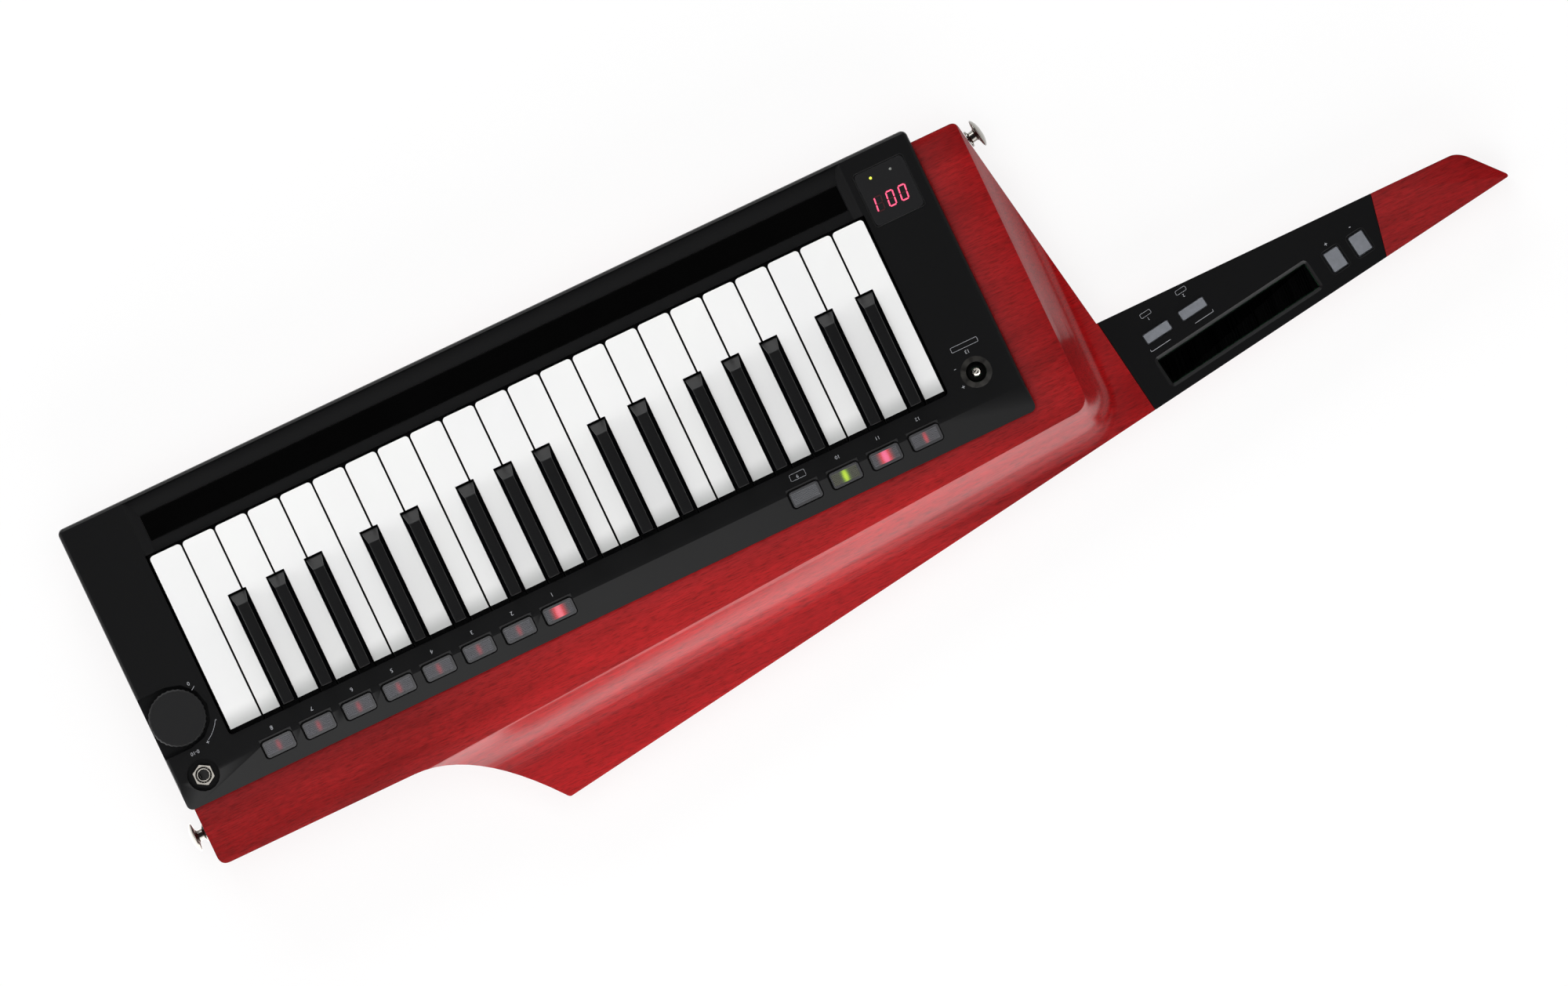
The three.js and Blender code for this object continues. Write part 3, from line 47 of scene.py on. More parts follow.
# Camera: straight above the playing face, with the picture turned so that the keyboard climbs
# to the right and the neck points up and away. A long lens keeps its lines nearly parallel.
panel_low, panel_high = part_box("control_panel")
tail_edge = panel_high.x
front_edge = panel_low.y
playing_height = 55 * mm
picture_turn = math.radians(25.4)
picture_width = 895 * mm
picture_from_tail = 384.6 * mm
picture_from_front = 158.2 * mm
picture_middle = Vector((
    tail_edge - picture_from_tail, front_edge + picture_from_front, playing_height))
picture_right = Vector((-math.cos(picture_turn), math.sin(picture_turn), 0))
picture_up = Vector((-math.sin(picture_turn), -math.cos(picture_turn), 0))
camera_height = 20.0
sensor_width = 36
bpy.ops.object.camera_add(location=picture_middle + Vector((0, 0, camera_height)))
camera = bpy.context.object
camera.rotation_euler = Matrix((picture_right, picture_up, Vector((0, 0, 1)))).transposed().to_euler()
camera.data.sensor_width = sensor_width
camera.data.lens = sensor_width * camera_height / picture_width
camera.data.clip_end = 2 * camera_height
bpy.context.scene.camera = camera
bpy.context.scene.view_settings.view_transform = "Standard"


# Floor and light: a white floor that stays white in the picture but keeps the soft shadow, a
# dim sky, one wide lamp above that no polished face mirrors, and tall soft boxes round the
# sides, of which the rear one draws the scoop's gleam and the high one the rear strip's sheen.
def linear(hex_colour):
    """An sRGB hex colour as linear red, green, blue and alpha."""
    parts = [int(hex_colour[n:n + 2], 16) / 255 for n in (1, 3, 5)]
    return [c / 12.92 if c <= 0.04045 else ((c + 0.055) / 1.055) ** 2.4 for c in parts] + [1]


def add_node(tree, kind, settings, links):
    """Adds a node; settings hold its properties, inputs' values or colour stops, links its sources."""
    node = tree.nodes.new(kind)
    for name, value in settings.items():
        if name == "stops":
            elements = node.color_ramp.elements
            while len(elements) < len(value):
                elements.new(0.5)
            for element, (position, colour) in zip(elements, value):
                element.position = position
                element.color = linear(colour)
        elif isinstance(name, str) and hasattr(node, name):
            setattr(node, name, value)
        else:
            node.inputs[name].default_value = value
    for name, source in links.items():
        tree.links.new(source, node.inputs[name])
    return node


def new_material(name, settings):
    """A material of one Principled shader: returns it, its nodes, the shader and Object places."""
    material = bpy.data.materials.new(name)
    material.use_nodes = True
    tree = material.node_tree
    shader = tree.nodes["Principled BSDF"]
    for key, value in settings.items():
        shader.inputs[key].default_value = value
    place = add_node(tree, "ShaderNodeTexCoord", {}, {}).outputs["Object"]
    return material, tree, shader, place


def set_material(piece, material):
    piece.data.materials.clear()
    piece.data.materials.append(material)


# Matte floor paint scatters light evenly, so it shows the shadow and no gloss. To the camera and
# in mirrors it adds plain white, and polished pieces mirror it brighter from behind the part.
seen_white = 0.78
mirrored_white = 1.05
mirrored_behind = {"From Min": -0.05, "From Max": 0.12, "To Min": 0.15, "To Max": 2.9}
floor_paint, tree, shader, place = new_material("matte white floor paint", {
    "Base Color": linear("#efefef"), "Roughness": 0.9, "Specular IOR Level": 0.1})
floor_axes = add_node(tree, "ShaderNodeSeparateXYZ", {}, {"Vector": place})
behind = add_node(tree, "ShaderNodeMapRange", {"interpolation_type": "SMOOTHSTEP", **mirrored_behind}, {
    "Value": floor_axes.outputs["Y"]})
ray = add_node(tree, "ShaderNodeLightPath", {}, {})
glow = add_node(tree, "ShaderNodeMath", {"operation": "MULTIPLY_ADD", 2: mirrored_white}, {
    0: ray.outputs["Is Glossy Ray"], 1: behind.outputs[0]})
glowing = add_node(tree, "ShaderNodeEmission", {"Color": (1, 1, 1, 1)}, {"Strength": glow.outputs[0]})
seen_or_mirrored = add_node(tree, "ShaderNodeMath", {"operation": "MAXIMUM"}, {
    0: ray.outputs["Is Camera Ray"], 1: ray.outputs["Is Glossy Ray"]})
seen = add_node(tree, "ShaderNodeMath", {"operation": "MAXIMUM"}, {
    0: seen_or_mirrored.outputs[0], 1: ray.outputs["Is Transmission Ray"]})
part_seen = add_node(tree, "ShaderNodeMath", {"operation": "MULTIPLY", 1: seen_white}, {
    0: seen.outputs[0]})
mix = add_node(tree, "ShaderNodeMixShader", {}, {
    0: part_seen.outputs[0], 1: shader.outputs[0], 2: glowing.outputs[0]})
tree.links.new(mix.outputs[0], tree.nodes["Material Output"].inputs["Surface"])

# The floor lies just below the heads of the back cover's screws
floor_width = 12
floor_level = -1.2 * mm
bpy.ops.mesh.primitive_plane_add(size=floor_width, location=(0, 0, floor_level))
floor = bpy.context.object
floor.name = "floor"
set_material(floor, floor_paint)

world = bpy.data.worlds.new("dim studio sky")
bpy.context.scene.world = world
world.use_nodes = True
world.node_tree.nodes["Background"].inputs["Color"].default_value = linear("#f2f4f7")
world.node_tree.nodes["Background"].inputs["Strength"].default_value = 0.035

# Each lamp's place, width and height in metres and its power in watts; all face the middle
lamps = {
    "lamp_above": ((0.2, -0.15, 2.0), 1.6, 1.6, 21.5),
    "soft_box_rear": ((0.4, 2.5, 0.42), 4.4, 1.0, 56),
    "soft_box_rear_upper": ((0, 2.2, 1.5), 3.0, 1.1, 20),
    "soft_box_high": ((0.75, 1.35, 2.75), 2.0, 0.5, 14),
    "soft_box_wing": ((0.1, 1.28, 2.2), 3.0, 1.0, 9),
    "soft_box_neck": ((-2.6, 0.25, 1.1), 4.6, 1.4, 19),
    "soft_box_tail": ((2.6, 0, 1.2), 2.4, 1.4, 16),
    "soft_box_front": ((0, -2.6, 1.3), 3.2, 1.4, 48),
}
for lamp_name, (stand, width, height, power) in lamps.items():
    bpy.ops.object.light_add(type="AREA", location=stand)
    lamp = bpy.context.object
    lamp.name = lamp_name
    lamp.data.shape = "RECTANGLE"
    lamp.data.size = width
    lamp.data.size_y = height
    lamp.data.energy = power
    lamp.rotation_mode = "QUATERNION"
    lamp.rotation_quaternion = Vector(stand).to_track_quat("Z", "Y")
    lamp.visible_glossy = lamp_name != "lamp_above"


# Wooden body: one through-neck piece of open-pored mahogany, shaped by router, sanded, stained
# red and lacquered to a satin. Its edges are eased by about a millimetre.
def softened(node, name, body, width, segments=2, sharp=30, smooth=35, flats=True):
    """A copy of a CAD node with its edges rounded, which stands in for that node."""
    bpy.ops.object.select_all(action="DESELECT")
    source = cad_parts[node]
    piece = source.copy()
    piece.data = source.data.copy()
    piece.name = name
    piece.parent = None
    piece.matrix_world = Matrix.Identity(4)
    bpy.context.collection.objects.link(piece)
    bpy.context.view_layer.objects.active = piece
    piece.select_set(True)
    bpy.ops.object.mode_set(mode="EDIT")
    bpy.ops.mesh.select_all(action="SELECT")
    bpy.ops.mesh.remove_doubles(threshold=0.005 * mm)
    bpy.ops.mesh.dissolve_limited(angle_limit=math.radians(0.5))
    bpy.ops.object.mode_set(mode="OBJECT")
    bevel = piece.modifiers.new("eased edges", "BEVEL")
    bevel.width = width
    bevel.segments = segments
    bevel.limit_method = "ANGLE"
    bevel.angle_limit = math.radians(sharp)
    bevel.use_clamp_overlap = True
    bpy.ops.object.modifier_apply(modifier=bevel.name)
    bpy.ops.object.shade_smooth_by_angle(angle=math.radians(smooth))
    if flats:
        weighted = piece.modifiers.new("flat faces stay flat", "WEIGHTED_NORMAL")
        weighted.keep_sharp = True
        bpy.ops.object.modifier_apply(modifier=weighted.name)
    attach(piece, body)
    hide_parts(node)
    return piece


def patchy_gloss(tree, shader, place, size, low, high, detail=2.0):
    """Lets the roughness drift from low to high in patches of a size."""
    patches = add_node(tree, "ShaderNodeTexNoise", {"Scale": 1 / size, "Detail": detail}, {
        "Vector": place})
    gloss = add_node(tree, "ShaderNodeMapRange", {"To Min": low, "To Max": high}, {
        "Value": patches.outputs["Fac"]})
    tree.links.new(gloss.outputs[0], shader.inputs["Roughness"])


# Stained mahogany: the red stain sinks into the open pores and draws them as short dark dashes
# along the grain, over slow lighter and darker ribbons of figure. Towards the tail and along the
# neck the colour is painted darker than in the middle of the body: painted shade, where the light
# falls off. Each layer's length, width and depth are in millimetres. Real pores are 0.2 mm wide
# and are drawn coarser, so that they show
wood_layers = {
    "figure": ((111, 20, 20), 4.0, 0.55),
    "streaks": ((33.3, 1.54, 1.54), 2.0, 0.5),
    "pores": ((6.25, 0.667, 0.667), 3.0, 0.6),
}
mahogany, tree, shader, place = new_material("red-stained mahogany, satin lacquer", {
    "Roughness": 0.45, "Specular IOR Level": 0.02, "Coat Weight": 0.9, "Coat Roughness": 0.24})
layers = {}
for layer_name, (layer_size, detail, layer_roughness) in wood_layers.items():
    stretched = add_node(tree, "ShaderNodeMapping", {"Scale": [1 / (s * mm) for s in layer_size]}, {
        "Vector": place})
    layer = add_node(tree, "ShaderNodeTexNoise", {
        "Scale": 1.0, "Detail": detail, "Roughness": layer_roughness}, {"Vector": stretched.outputs[0]})
    layers[layer_name] = layer.outputs["Fac"]
stain = add_node(tree, "ShaderNodeValToRGB", {
    "stops": [(0.28, "#9a060a"), (0.5, "#af090e"), (0.75, "#be0d13")]}, {"Fac": layers["figure"]})
streak_tone = add_node(tree, "ShaderNodeValToRGB", {"stops": [(0.3, "#b0b0b0"), (0.6, "#ffffff")]}, {
    "Fac": layers["streaks"]})
pore_tone = add_node(tree, "ShaderNodeValToRGB", {"stops": [(0.32, "#585858"), (0.54, "#ffffff")]}, {
    "Fac": layers["pores"]})
body_half_length = 0.43
wood_axes = add_node(tree, "ShaderNodeSeparateXYZ", {}, {"Vector": place})
along_body = add_node(tree, "ShaderNodeMapRange", {
    "From Min": -body_half_length, "From Max": body_half_length}, {"Value": wood_axes.outputs["X"]})
# Painted shade: the wood is darker towards both ends of the body and lighter in its middle, where the
# light falls strongest
painted_light_falloff = add_node(tree, "ShaderNodeValToRGB", {
    "stops": [(0.0, "#cacaca"), (0.34, "#d6d6d6"), (0.52, "#ffffff"), (0.7, "#ffffff"),
              (0.86, "#d2d2d2"), (1.0, "#cacaca")]}, {"Fac": along_body.outputs[0]})
painted_light_falloff.color_ramp.interpolation = "EASE"
wood_colour = stain.outputs["Color"]
for share, tone in ((0.35, streak_tone), (0.5, pore_tone), (1.0, painted_light_falloff)):
    layered = add_node(tree, "ShaderNodeMix", {
        "data_type": "RGBA", "blend_type": "MULTIPLY", 0: share}, {
        6: wood_colour, 7: tone.outputs["Color"]})
    wood_colour = layered.outputs[2]
tree.links.new(wood_colour, shader.inputs["Base Color"])
pore_bump = add_node(tree, "ShaderNodeBump", {"Strength": 0.12, "Distance": 0.1 * mm}, {
    "Height": pore_tone.outputs["Color"]})
tree.links.new(pore_bump.outputs[0], shader.inputs["Normal"])
wood = softened("wood_body", "wood_through_neck", "body", 1.2 * mm, segments=3, flats=False)
set_material(wood, mahogany)

# Dead matt black over the wood in the routed pocket under the panel, its roughness drifting in
# patches 2.5 mm apart: painted shade, so that no red shows through the slits beside the keys
pocket_painted_shade, tree, shader, place = new_material("dead matt black, painted shade in the pocket", {
    "Base Color": linear("#08080a"), "Specular IOR Level": 0.1})
patchy_gloss(tree, shader, place, 2.5 * mm, 0.8, 0.9)
# The wood's faces under the panel take the dead black: painted shade
wood.data.materials.append(pocket_painted_shade)
lip = 1.5 * mm
for face in wood.data.polygons:
    corners = [wood.data.vertices[n].co for n in face.vertices]
    covered = all(
        panel_low.x + lip < corner.x < panel_high.x - lip
        and panel_low.y + lip < corner.y < panel_high.y - lip
        and corner.z > lip for corner in corners)
    face.material_index = int(covered)


# Control panel: one black ABS housing, injection moulded with a fine spark texture, which lies
# over the wood's pocket and wraps its front edge and its tail.
def mould_grain(tree, shader, place, size, strength):
    """Raises a fine grain of a size, as a mould's or a rubber's own surface has."""
    grain = add_node(tree, "ShaderNodeTexNoise", {"Scale": 1 / size}, {"Vector": place})
    bump = add_node(tree, "ShaderNodeBump", {"Strength": strength, "Distance": 0.05 * mm}, {
        "Height": grain.outputs["Fac"]})
    tree.links.new(bump.outputs[0], shader.inputs["Normal"])


# Spark-eroded moulds leave pits that break the gloss into a soft sheen. They are 0.05 mm wide and
# are drawn ten times as coarse, so that they show
moulded_black, tree, shader, place = new_material("black ABS, fine spark texture", {
    "Base Color": linear("#0c0c0d"), "Specular IOR Level": 0.4})
mould_grain(tree, shader, place, 0.556 * mm, 0.25)
patchy_gloss(tree, shader, place, 111 * mm, 0.33, 0.39)
panel = softened("control_panel", "panel_housing", "body", 0.5 * mm, segments=3, sharp=22, smooth=30)
set_material(panel, moulded_black)

# The trough in front of the keys is etched flatter and looks matt, so that its strip alone shines
etched_black, tree, shader, place = new_material("black ABS, etched matt", {
    "Base Color": linear("#0f0f10"), "Specular IOR Level": 0.2})
patchy_gloss(tree, shader, place, 0.625 * mm, 0.5, 0.6)
panel.data.materials.append(etched_black)
trough_low = Vector((tail_edge - 496 * mm, front_edge + 1.5 * mm))
trough_high = Vector((tail_edge - 38 * mm, front_edge + 29.5 * mm))
for face in panel.data.polygons:
    inside = (trough_low.x < face.center.x < trough_high.x
              and trough_low.y < face.center.y < trough_high.y)
    neither_level_nor_upright = 0.05 < face.normal.z < 0.995
    faces_forward = face.normal.y < -0.05
    face.material_index = int(inside and neither_level_nor_upright and not faces_forward)


# Keybed frame, boards and back cover: moulded ABS and laminated glass epoxy, mostly out of sight.
# The frame stands in the wood's pocket, the boards hang from posts under the panel and the neck
# cover, and six screws hold the back cover.
def mottled(tree, shader, place, size, *stops):
    """Lets the colour drift through a ramp's stops in patches of a size."""
    patches = add_node(tree, "ShaderNodeTexNoise", {"Scale": 1 / size}, {"Vector": place})
    colours = add_node(tree, "ShaderNodeValToRGB", {"stops": stops}, {"Fac": patches.outputs["Fac"]})
    tree.links.new(colours.outputs["Color"], shader.inputs["Base Color"])


# Plain moulded ABS keeps the mould's grain and looks duller than the panel; its grain is drawn
# coarse, so that it shows
frame_plastic, tree, shader, place = new_material("dark moulded ABS", {
    "Base Color": linear("#0e0e0f"), "Roughness": 0.6})
mould_grain(tree, shader, place, 0.667 * mm, 0.2)
set_material(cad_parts["keybed_frame"], frame_plastic)
cover = softened("back_cover", "back_plate", "body", 0.3 * mm)
set_material(cover, frame_plastic)

# Solder mask over glass cloth: a glossy green in which the weave shows as paler spots
board_green, tree, shader, place = new_material("glass-epoxy board, green solder mask", {
    "Roughness": 0.45, "Coat Weight": 0.3})
mottled(tree, shader, place, 1.43 * mm, (0.35, "#17452a"), (0.7, "#22603a"))
for node in ("main_board", "neck_board"):
    set_material(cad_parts[node], board_green)


# Keys: 22 white and 15 black caps of moulded ABS with eased edges, each welded to a black hinge
# arm that runs back under the panel and rocks on the keybed's rail.
key_rear = front_edge + 144.9 * mm
arm_start = key_rear - 0.12 * mm

# Polished white ABS is glossy and almost even, in drifts of 70 mm. Over the last centimetre of
# each cap, towards the panel, it is painted greyer: painted shade at the back of the keys
drift = 71.4 * mm
rear_shade_reach = 12 * mm
key_white, tree, shader, place = new_material("polished white ABS", {
    "Roughness": 0.22, "Coat Weight": 0.2, "Coat Roughness": 0.1})
tint = add_node(tree, "ShaderNodeTexNoise", {"Scale": 1 / drift, "Detail": 1.0}, {"Vector": place})
clean = add_node(tree, "ShaderNodeValToRGB", {"stops": [(0.3, "#f9f9f9"), (0.7, "#fcfcfb")]}, {
    "Fac": tint.outputs["Fac"]})
key_axes = add_node(tree, "ShaderNodeSeparateXYZ", {}, {"Vector": place})
# Painted shade: each cap greys over its last 12 mm towards the panel
rear_shade = add_node(tree, "ShaderNodeMapRange", {
    "interpolation_type": "SMOOTHSTEP", "From Min": key_rear - rear_shade_reach,
    "From Max": key_rear + 1 * mm}, {"Value": key_axes.outputs["Y"]})
rear_shaded = add_node(tree, "ShaderNodeMix", {"data_type": "RGBA", 7: linear("#c2c3c2")}, {
    0: rear_shade.outputs[0], 6: clean.outputs["Color"]})
is_arm = add_node(tree, "ShaderNodeMath", {"operation": "GREATER_THAN", 1: arm_start}, {
    0: key_axes.outputs["Y"]})
cap_or_arm = add_node(tree, "ShaderNodeMix", {"data_type": "RGBA", 7: linear("#0b0b0c")}, {
    0: is_arm.outputs[0], 6: rear_shaded.outputs[2]})
tree.links.new(cap_or_arm.outputs[2], shader.inputs["Base Color"])

# Satin black ABS on the tops is rubbed a little glossier in patches about a fingertip wide
key_black, tree, shader, place = new_material("satin black ABS", {
    "Base Color": linear("#101011"), "Specular IOR Level": 0.4})
patchy_gloss(tree, shader, place, 16.7 * mm, 0.32, 0.4, detail=3.0)

# Their flanks are left as they come from a spark-eroded mould, dead matt, and are painted a
# darker black than the tops: painted shade on the sides, down in the slots beside the white keys
shaded_flank_black, tree, shader, place = new_material("matt black ABS, darker as painted shade", {
    "Base Color": linear("#08080a"), "Specular IOR Level": 0.0})
patchy_gloss(tree, shader, place, 0.667 * mm, 0.85, 0.95)

for node in sorted(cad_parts):
    if not node.startswith("key_"):
        continue
    is_black = "sharp" in node
    eased, segments = (0.75 * mm, 3) if is_black else (0.2 * mm, 2)
    key = softened(node, node + "_top", node + "_body", eased, segments, smooth=40)
    set_material(key, key_black if is_black else key_white)
    if is_black:
        # The upright flanks take the darker black: painted shade
        key.data.materials.append(shaded_flank_black)
        for face in key.data.polygons:
            face.material_index = int(abs(face.normal.x) > 0.95)


# Touch strips: smooth black polyester film over a pressure sensor, one in the trough in front
# of the keys and one in the neck, each cut to its recess and glued in.
def box_middle(node):
    low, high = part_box(node)
    return (low + high) / 2


# Polyester film is smooth and mirrors the room, a little softer where fingers slide along it
strip_film, tree, shader, place = new_material("black polyester film", {
    "Base Color": linear("#020202"), "Specular IOR Level": 0.25})
patchy_gloss(tree, shader, place, 25 * mm, 0.16, 0.24)
short_strip = softened("short_ribbon", "short_touch_strip", "body", 0.2 * mm)
set_material(short_strip, strip_film)

# The neck's own line, from its two long buttons, and the long strip's middle along it
neck_along = (box_middle("filter_button") - box_middle("pitch_button")).normalized()
neck_across = Vector((-neck_along.y, neck_along.x, 0))
neck_turn = math.atan2(neck_along.y, neck_along.x)
neck_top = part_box("neck_cover")[1].z
strip_length = 100.3 * mm
strip_width = 15.7 * mm
strip_thickness = 0.3 * mm
strip_sunk = 1.85 * mm
strip_from_button = 16.3 * mm
strip_middle = box_middle("octave_up_button") + neck_along * (strip_from_button + strip_length / 2)
strip_middle.z = neck_top - strip_sunk
bpy.ops.mesh.primitive_cube_add(size=1, location=strip_middle)
long_strip = bpy.context.object
long_strip.name = "long_touch_strip"
long_strip.scale = (strip_length, strip_width, strip_thickness)
long_strip.rotation_euler = (0, 0, neck_turn)
bpy.ops.object.transform_apply(location=True, rotation=True, scale=True)
bpy.ops.object.mode_set(mode="EDIT")
bpy.ops.mesh.select_all(action="SELECT")
bpy.ops.mesh.bevel(offset=0.1 * mm, segments=2)
bpy.ops.object.mode_set(mode="OBJECT")
set_material(long_strip, strip_film)
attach(long_strip, "body")


# Display: a window of smoked acrylic, set flush in the panel inside a fine moulded rim, with
# three digits of red light-emitting bars behind it and two octave lamps, of which one is lit.
def plate(start, end, width, bottom, top, chamfer=0.0):
    """A thin bar from start to end over a plan, with chamfered corners if asked."""
    run = Vector((end[0] - start[0], end[1] - start[1]))
    bpy.ops.object.select_all(action="DESELECT")
    bpy.ops.mesh.primitive_cube_add(size=1, location=(0, 0, 0), scale=(run.length, width, top - bottom))
    piece = bpy.context.object
    if chamfer:
        bpy.ops.object.transform_apply(location=False, rotation=False, scale=True)
        bpy.ops.object.mode_set(mode="EDIT")
        bpy.ops.mesh.select_mode(type="EDGE")
        bpy.ops.mesh.select_all(action="DESELECT")
        bpy.ops.object.mode_set(mode="OBJECT")
        for edge in piece.data.edges:
            low, high = (piece.data.vertices[n].co for n in edge.vertices)
            edge.select = abs(high.x - low.x) + abs(high.y - low.y) < 0.001 * mm
        bpy.ops.object.mode_set(mode="EDIT")
        bpy.ops.mesh.bevel(offset=chamfer, segments=1)
        bpy.ops.mesh.select_mode(type="VERT")
        bpy.ops.object.mode_set(mode="OBJECT")
    piece.location = ((start[0] + end[0]) / 2, (start[1] + end[1]) / 2, (bottom + top) / 2)
    piece.rotation_euler = (0, 0, math.atan2(run.y, run.x))
    return piece


def copies(piece, count):
    """A piece and its copies, each with its own mesh."""
    twins = [piece]
    while len(twins) < count:
        twin = piece.copy()
        twin.data = piece.data.copy()
        bpy.context.collection.objects.link(twin)
        twins.append(twin)
    return twins


def joined(pieces, name):
    """Joins pieces into one, with its place in its mesh."""
    bpy.ops.object.select_all(action="DESELECT")
    for piece in pieces:
        piece.select_set(True)
    bpy.context.view_layer.objects.active = pieces[0]
    bpy.ops.object.join()
    bpy.ops.object.transform_apply(location=True, rotation=True, scale=True)
    pieces[0].name = name
    return pieces[0]


def settled(piece, name, place, turn=(0, 0, 0)):
    """Names a piece and puts it at its place, with that place in its mesh."""
    bpy.ops.object.select_all(action="DESELECT")
    piece.select_set(True)
    bpy.context.view_layer.objects.active = piece
    piece.location = place
    piece.rotation_euler = turn
    bpy.ops.object.transform_apply(location=True, rotation=True, scale=True)
    piece.name = name
    return piece


def lamp_material(name, colour, strength):
    """Lit epoxy: it glows almost evenly, a fifth weaker in spots of 2 mm, and hides its surface."""
    material, tree, shader, place = new_material(name, {
        "Roughness": 0.4, "Emission Strength": strength})
    spread = add_node(tree, "ShaderNodeTexNoise", {"Scale": 1 / (2 * mm)}, {"Vector": place})
    tone = add_node(tree, "ShaderNodeMix", {
        "data_type": "RGBA", 6: linear(colour), 7: [0.8 * c for c in linear(colour)[:3]] + [1]}, {
        0: spread.outputs["Fac"]})
    tree.links.new(tone.outputs[2], shader.inputs["Emission Color"])
    tree.links.new(tone.outputs[2], shader.inputs["Base Color"])
    return material


def rim_line(width, depth, corner, radius):
    """A round cord bent to a rounded rectangle about the origin."""
    bpy.ops.object.select_all(action="DESELECT")
    bpy.ops.mesh.primitive_plane_add(size=1, location=(0, 0, 0))
    bpy.context.object.scale = (width, depth, 1)
    bpy.ops.object.transform_apply(location=False, rotation=False, scale=True)
    bpy.ops.object.mode_set(mode="EDIT")
    bpy.ops.mesh.select_all(action="SELECT")
    bpy.ops.mesh.bevel(offset=corner, segments=5, affect="VERTICES")
    bpy.ops.mesh.delete(type="ONLY_FACE")
    bpy.ops.object.mode_set(mode="OBJECT")
    bpy.ops.object.convert(target="CURVE")
    bpy.context.object.data.bevel_depth = radius
    bpy.context.object.data.bevel_resolution = 2
    bpy.ops.object.convert(target="MESH")
    bpy.ops.object.shade_smooth()
    return bpy.context.object


# Cast acrylic, smoked: glossy and dark, with the faint haze that wiping leaves
smoked, tree, shader, place = new_material("smoked acrylic", {"Base Color": linear("#222223")})
patchy_gloss(tree, shader, place, 33.3 * mm, 0.1, 0.16)
window = softened("display_window", "display_lens", "body", 0.2 * mm)
set_material(window, smoked)
window_low, window_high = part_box("display_window")
window_top = window_high.z

# Each bar's two ends are given in bar lengths along the digit's width and height. The digits
# are read with the player's left at low X, and each one's left edge is given from the tail
bar_ends = {
    "a": ((0, 2), (1, 2)), "b": ((1, 1), (1, 2)), "c": ((1, 0), (1, 1)), "d": ((0, 0), (1, 0)),
    "e": ((0, 0), (0, 1)), "f": ((0, 1), (0, 2)), "g": ((0, 1), (1, 1))}
digits_shown = ((522.7 * mm, "abcdef"), (515.0 * mm, "abcdef"), (507.7 * mm, "bc"))
first_digit = digits_shown[0][0]
digit_low = front_edge + 27.6 * mm
digit_width = 4.9 * mm
digit_height = 9.3 * mm
digit_slant = 0.9 * mm
bar_width = 0.85 * mm
bar_gap = 0.16 * mm
bar_chamfer = 0.42 * bar_width
bars_low = window_top + 0.005 * mm
bars_high = window_top + 0.03 * mm


def digit_bar(*ends):
    """One bar of the first digit."""
    start, end = (Vector((
        tail_edge - first_digit + bar_width / 2 + x * (digit_width - bar_width) + y * digit_slant / 2,
        digit_low + bar_width / 2 + y * (digit_height - bar_width) / 2)) for x, y in ends)
    back = (end - start).normalized() * bar_gap
    return plate(start + back, end - back, bar_width, bars_low, bars_high, bar_chamfer)


bars = {letter: copies(digit_bar(*ends), len(digits_shown)) for letter, ends in bar_ends.items()}
lit_bars = []
unlit_bars = []
for n, (left_from_tail, lit_letters) in enumerate(digits_shown):
    for letter in bar_ends:
        bar = bars[letter][n]
        bar.location.x += first_digit - left_from_tail
        (lit_bars if letter in lit_letters else unlit_bars).append(bar)
lit_digits = joined(lit_bars, "digits_lit")
set_material(lit_digits, lamp_material("red light-emitting bar, lit", "#f65076", 1.0))
unlit_digits = joined(unlit_bars, "digits_unlit")
set_material(unlit_digits, lamp_material("red light-emitting bar, unlit", "#3a1216", 0.06))
for piece in (lit_digits, unlit_digits):
    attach(piece, "body")

# The octave lamps are moulded epoxy domes, sunk in the window by most of their height
lamp_radius = 1.15 * mm
lamp_from_front = 17 * mm
lamp_height = window_top - 0.72 * lamp_radius
octave_lamps = (
    ("octave_lamp_lit", 506.3 * mm, "#e6f24a", 1.0), ("octave_lamp_unlit", 518.7 * mm, "#8c8f8a", 0.05))
bpy.ops.object.select_all(action="DESELECT")
bpy.ops.mesh.primitive_uv_sphere_add(segments=24, ring_count=12, radius=lamp_radius, location=(0, 0, 0))
bpy.ops.object.mode_set(mode="EDIT")
bpy.ops.mesh.select_all(action="SELECT")
bpy.ops.mesh.bisect(plane_co=(0, 0, 0), plane_no=(0, 0, 1), use_fill=True, clear_inner=True)
bpy.ops.object.mode_set(mode="OBJECT")
bpy.ops.object.shade_smooth_by_angle(angle=math.radians(40))
domes = copies(bpy.context.object, len(octave_lamps))
for dome, (lamp_name, from_tail, colour, strength) in zip(domes, octave_lamps):
    settled(dome, lamp_name, (tail_edge - from_tail, front_edge + lamp_from_front, lamp_height))
    set_material(dome, lamp_material(lamp_name.replace("_", " ") + ", epoxy dome", colour, strength))
    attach(dome, "body")

# The rim stands 0.35 mm outside the window and is sunk by half in the panel's top
panel_high_top = 58 * mm
rim_clearance = 0.35 * mm
rim_corner = 2.0 * mm
rim_sunk = 0.05 * mm
rim_width = window_high.x - window_low.x + 2 * rim_clearance
rim_depth = window_high.y - window_low.y + 2 * rim_clearance
rim_middle = (window_low + window_high) / 2
rim_middle.z = panel_high_top - rim_sunk
window_rim = settled(rim_line(rim_width, rim_depth, rim_corner, 0.3 * mm), "window_rim", rim_middle)
set_material(window_rim, moulded_black)
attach(window_rim, "body")
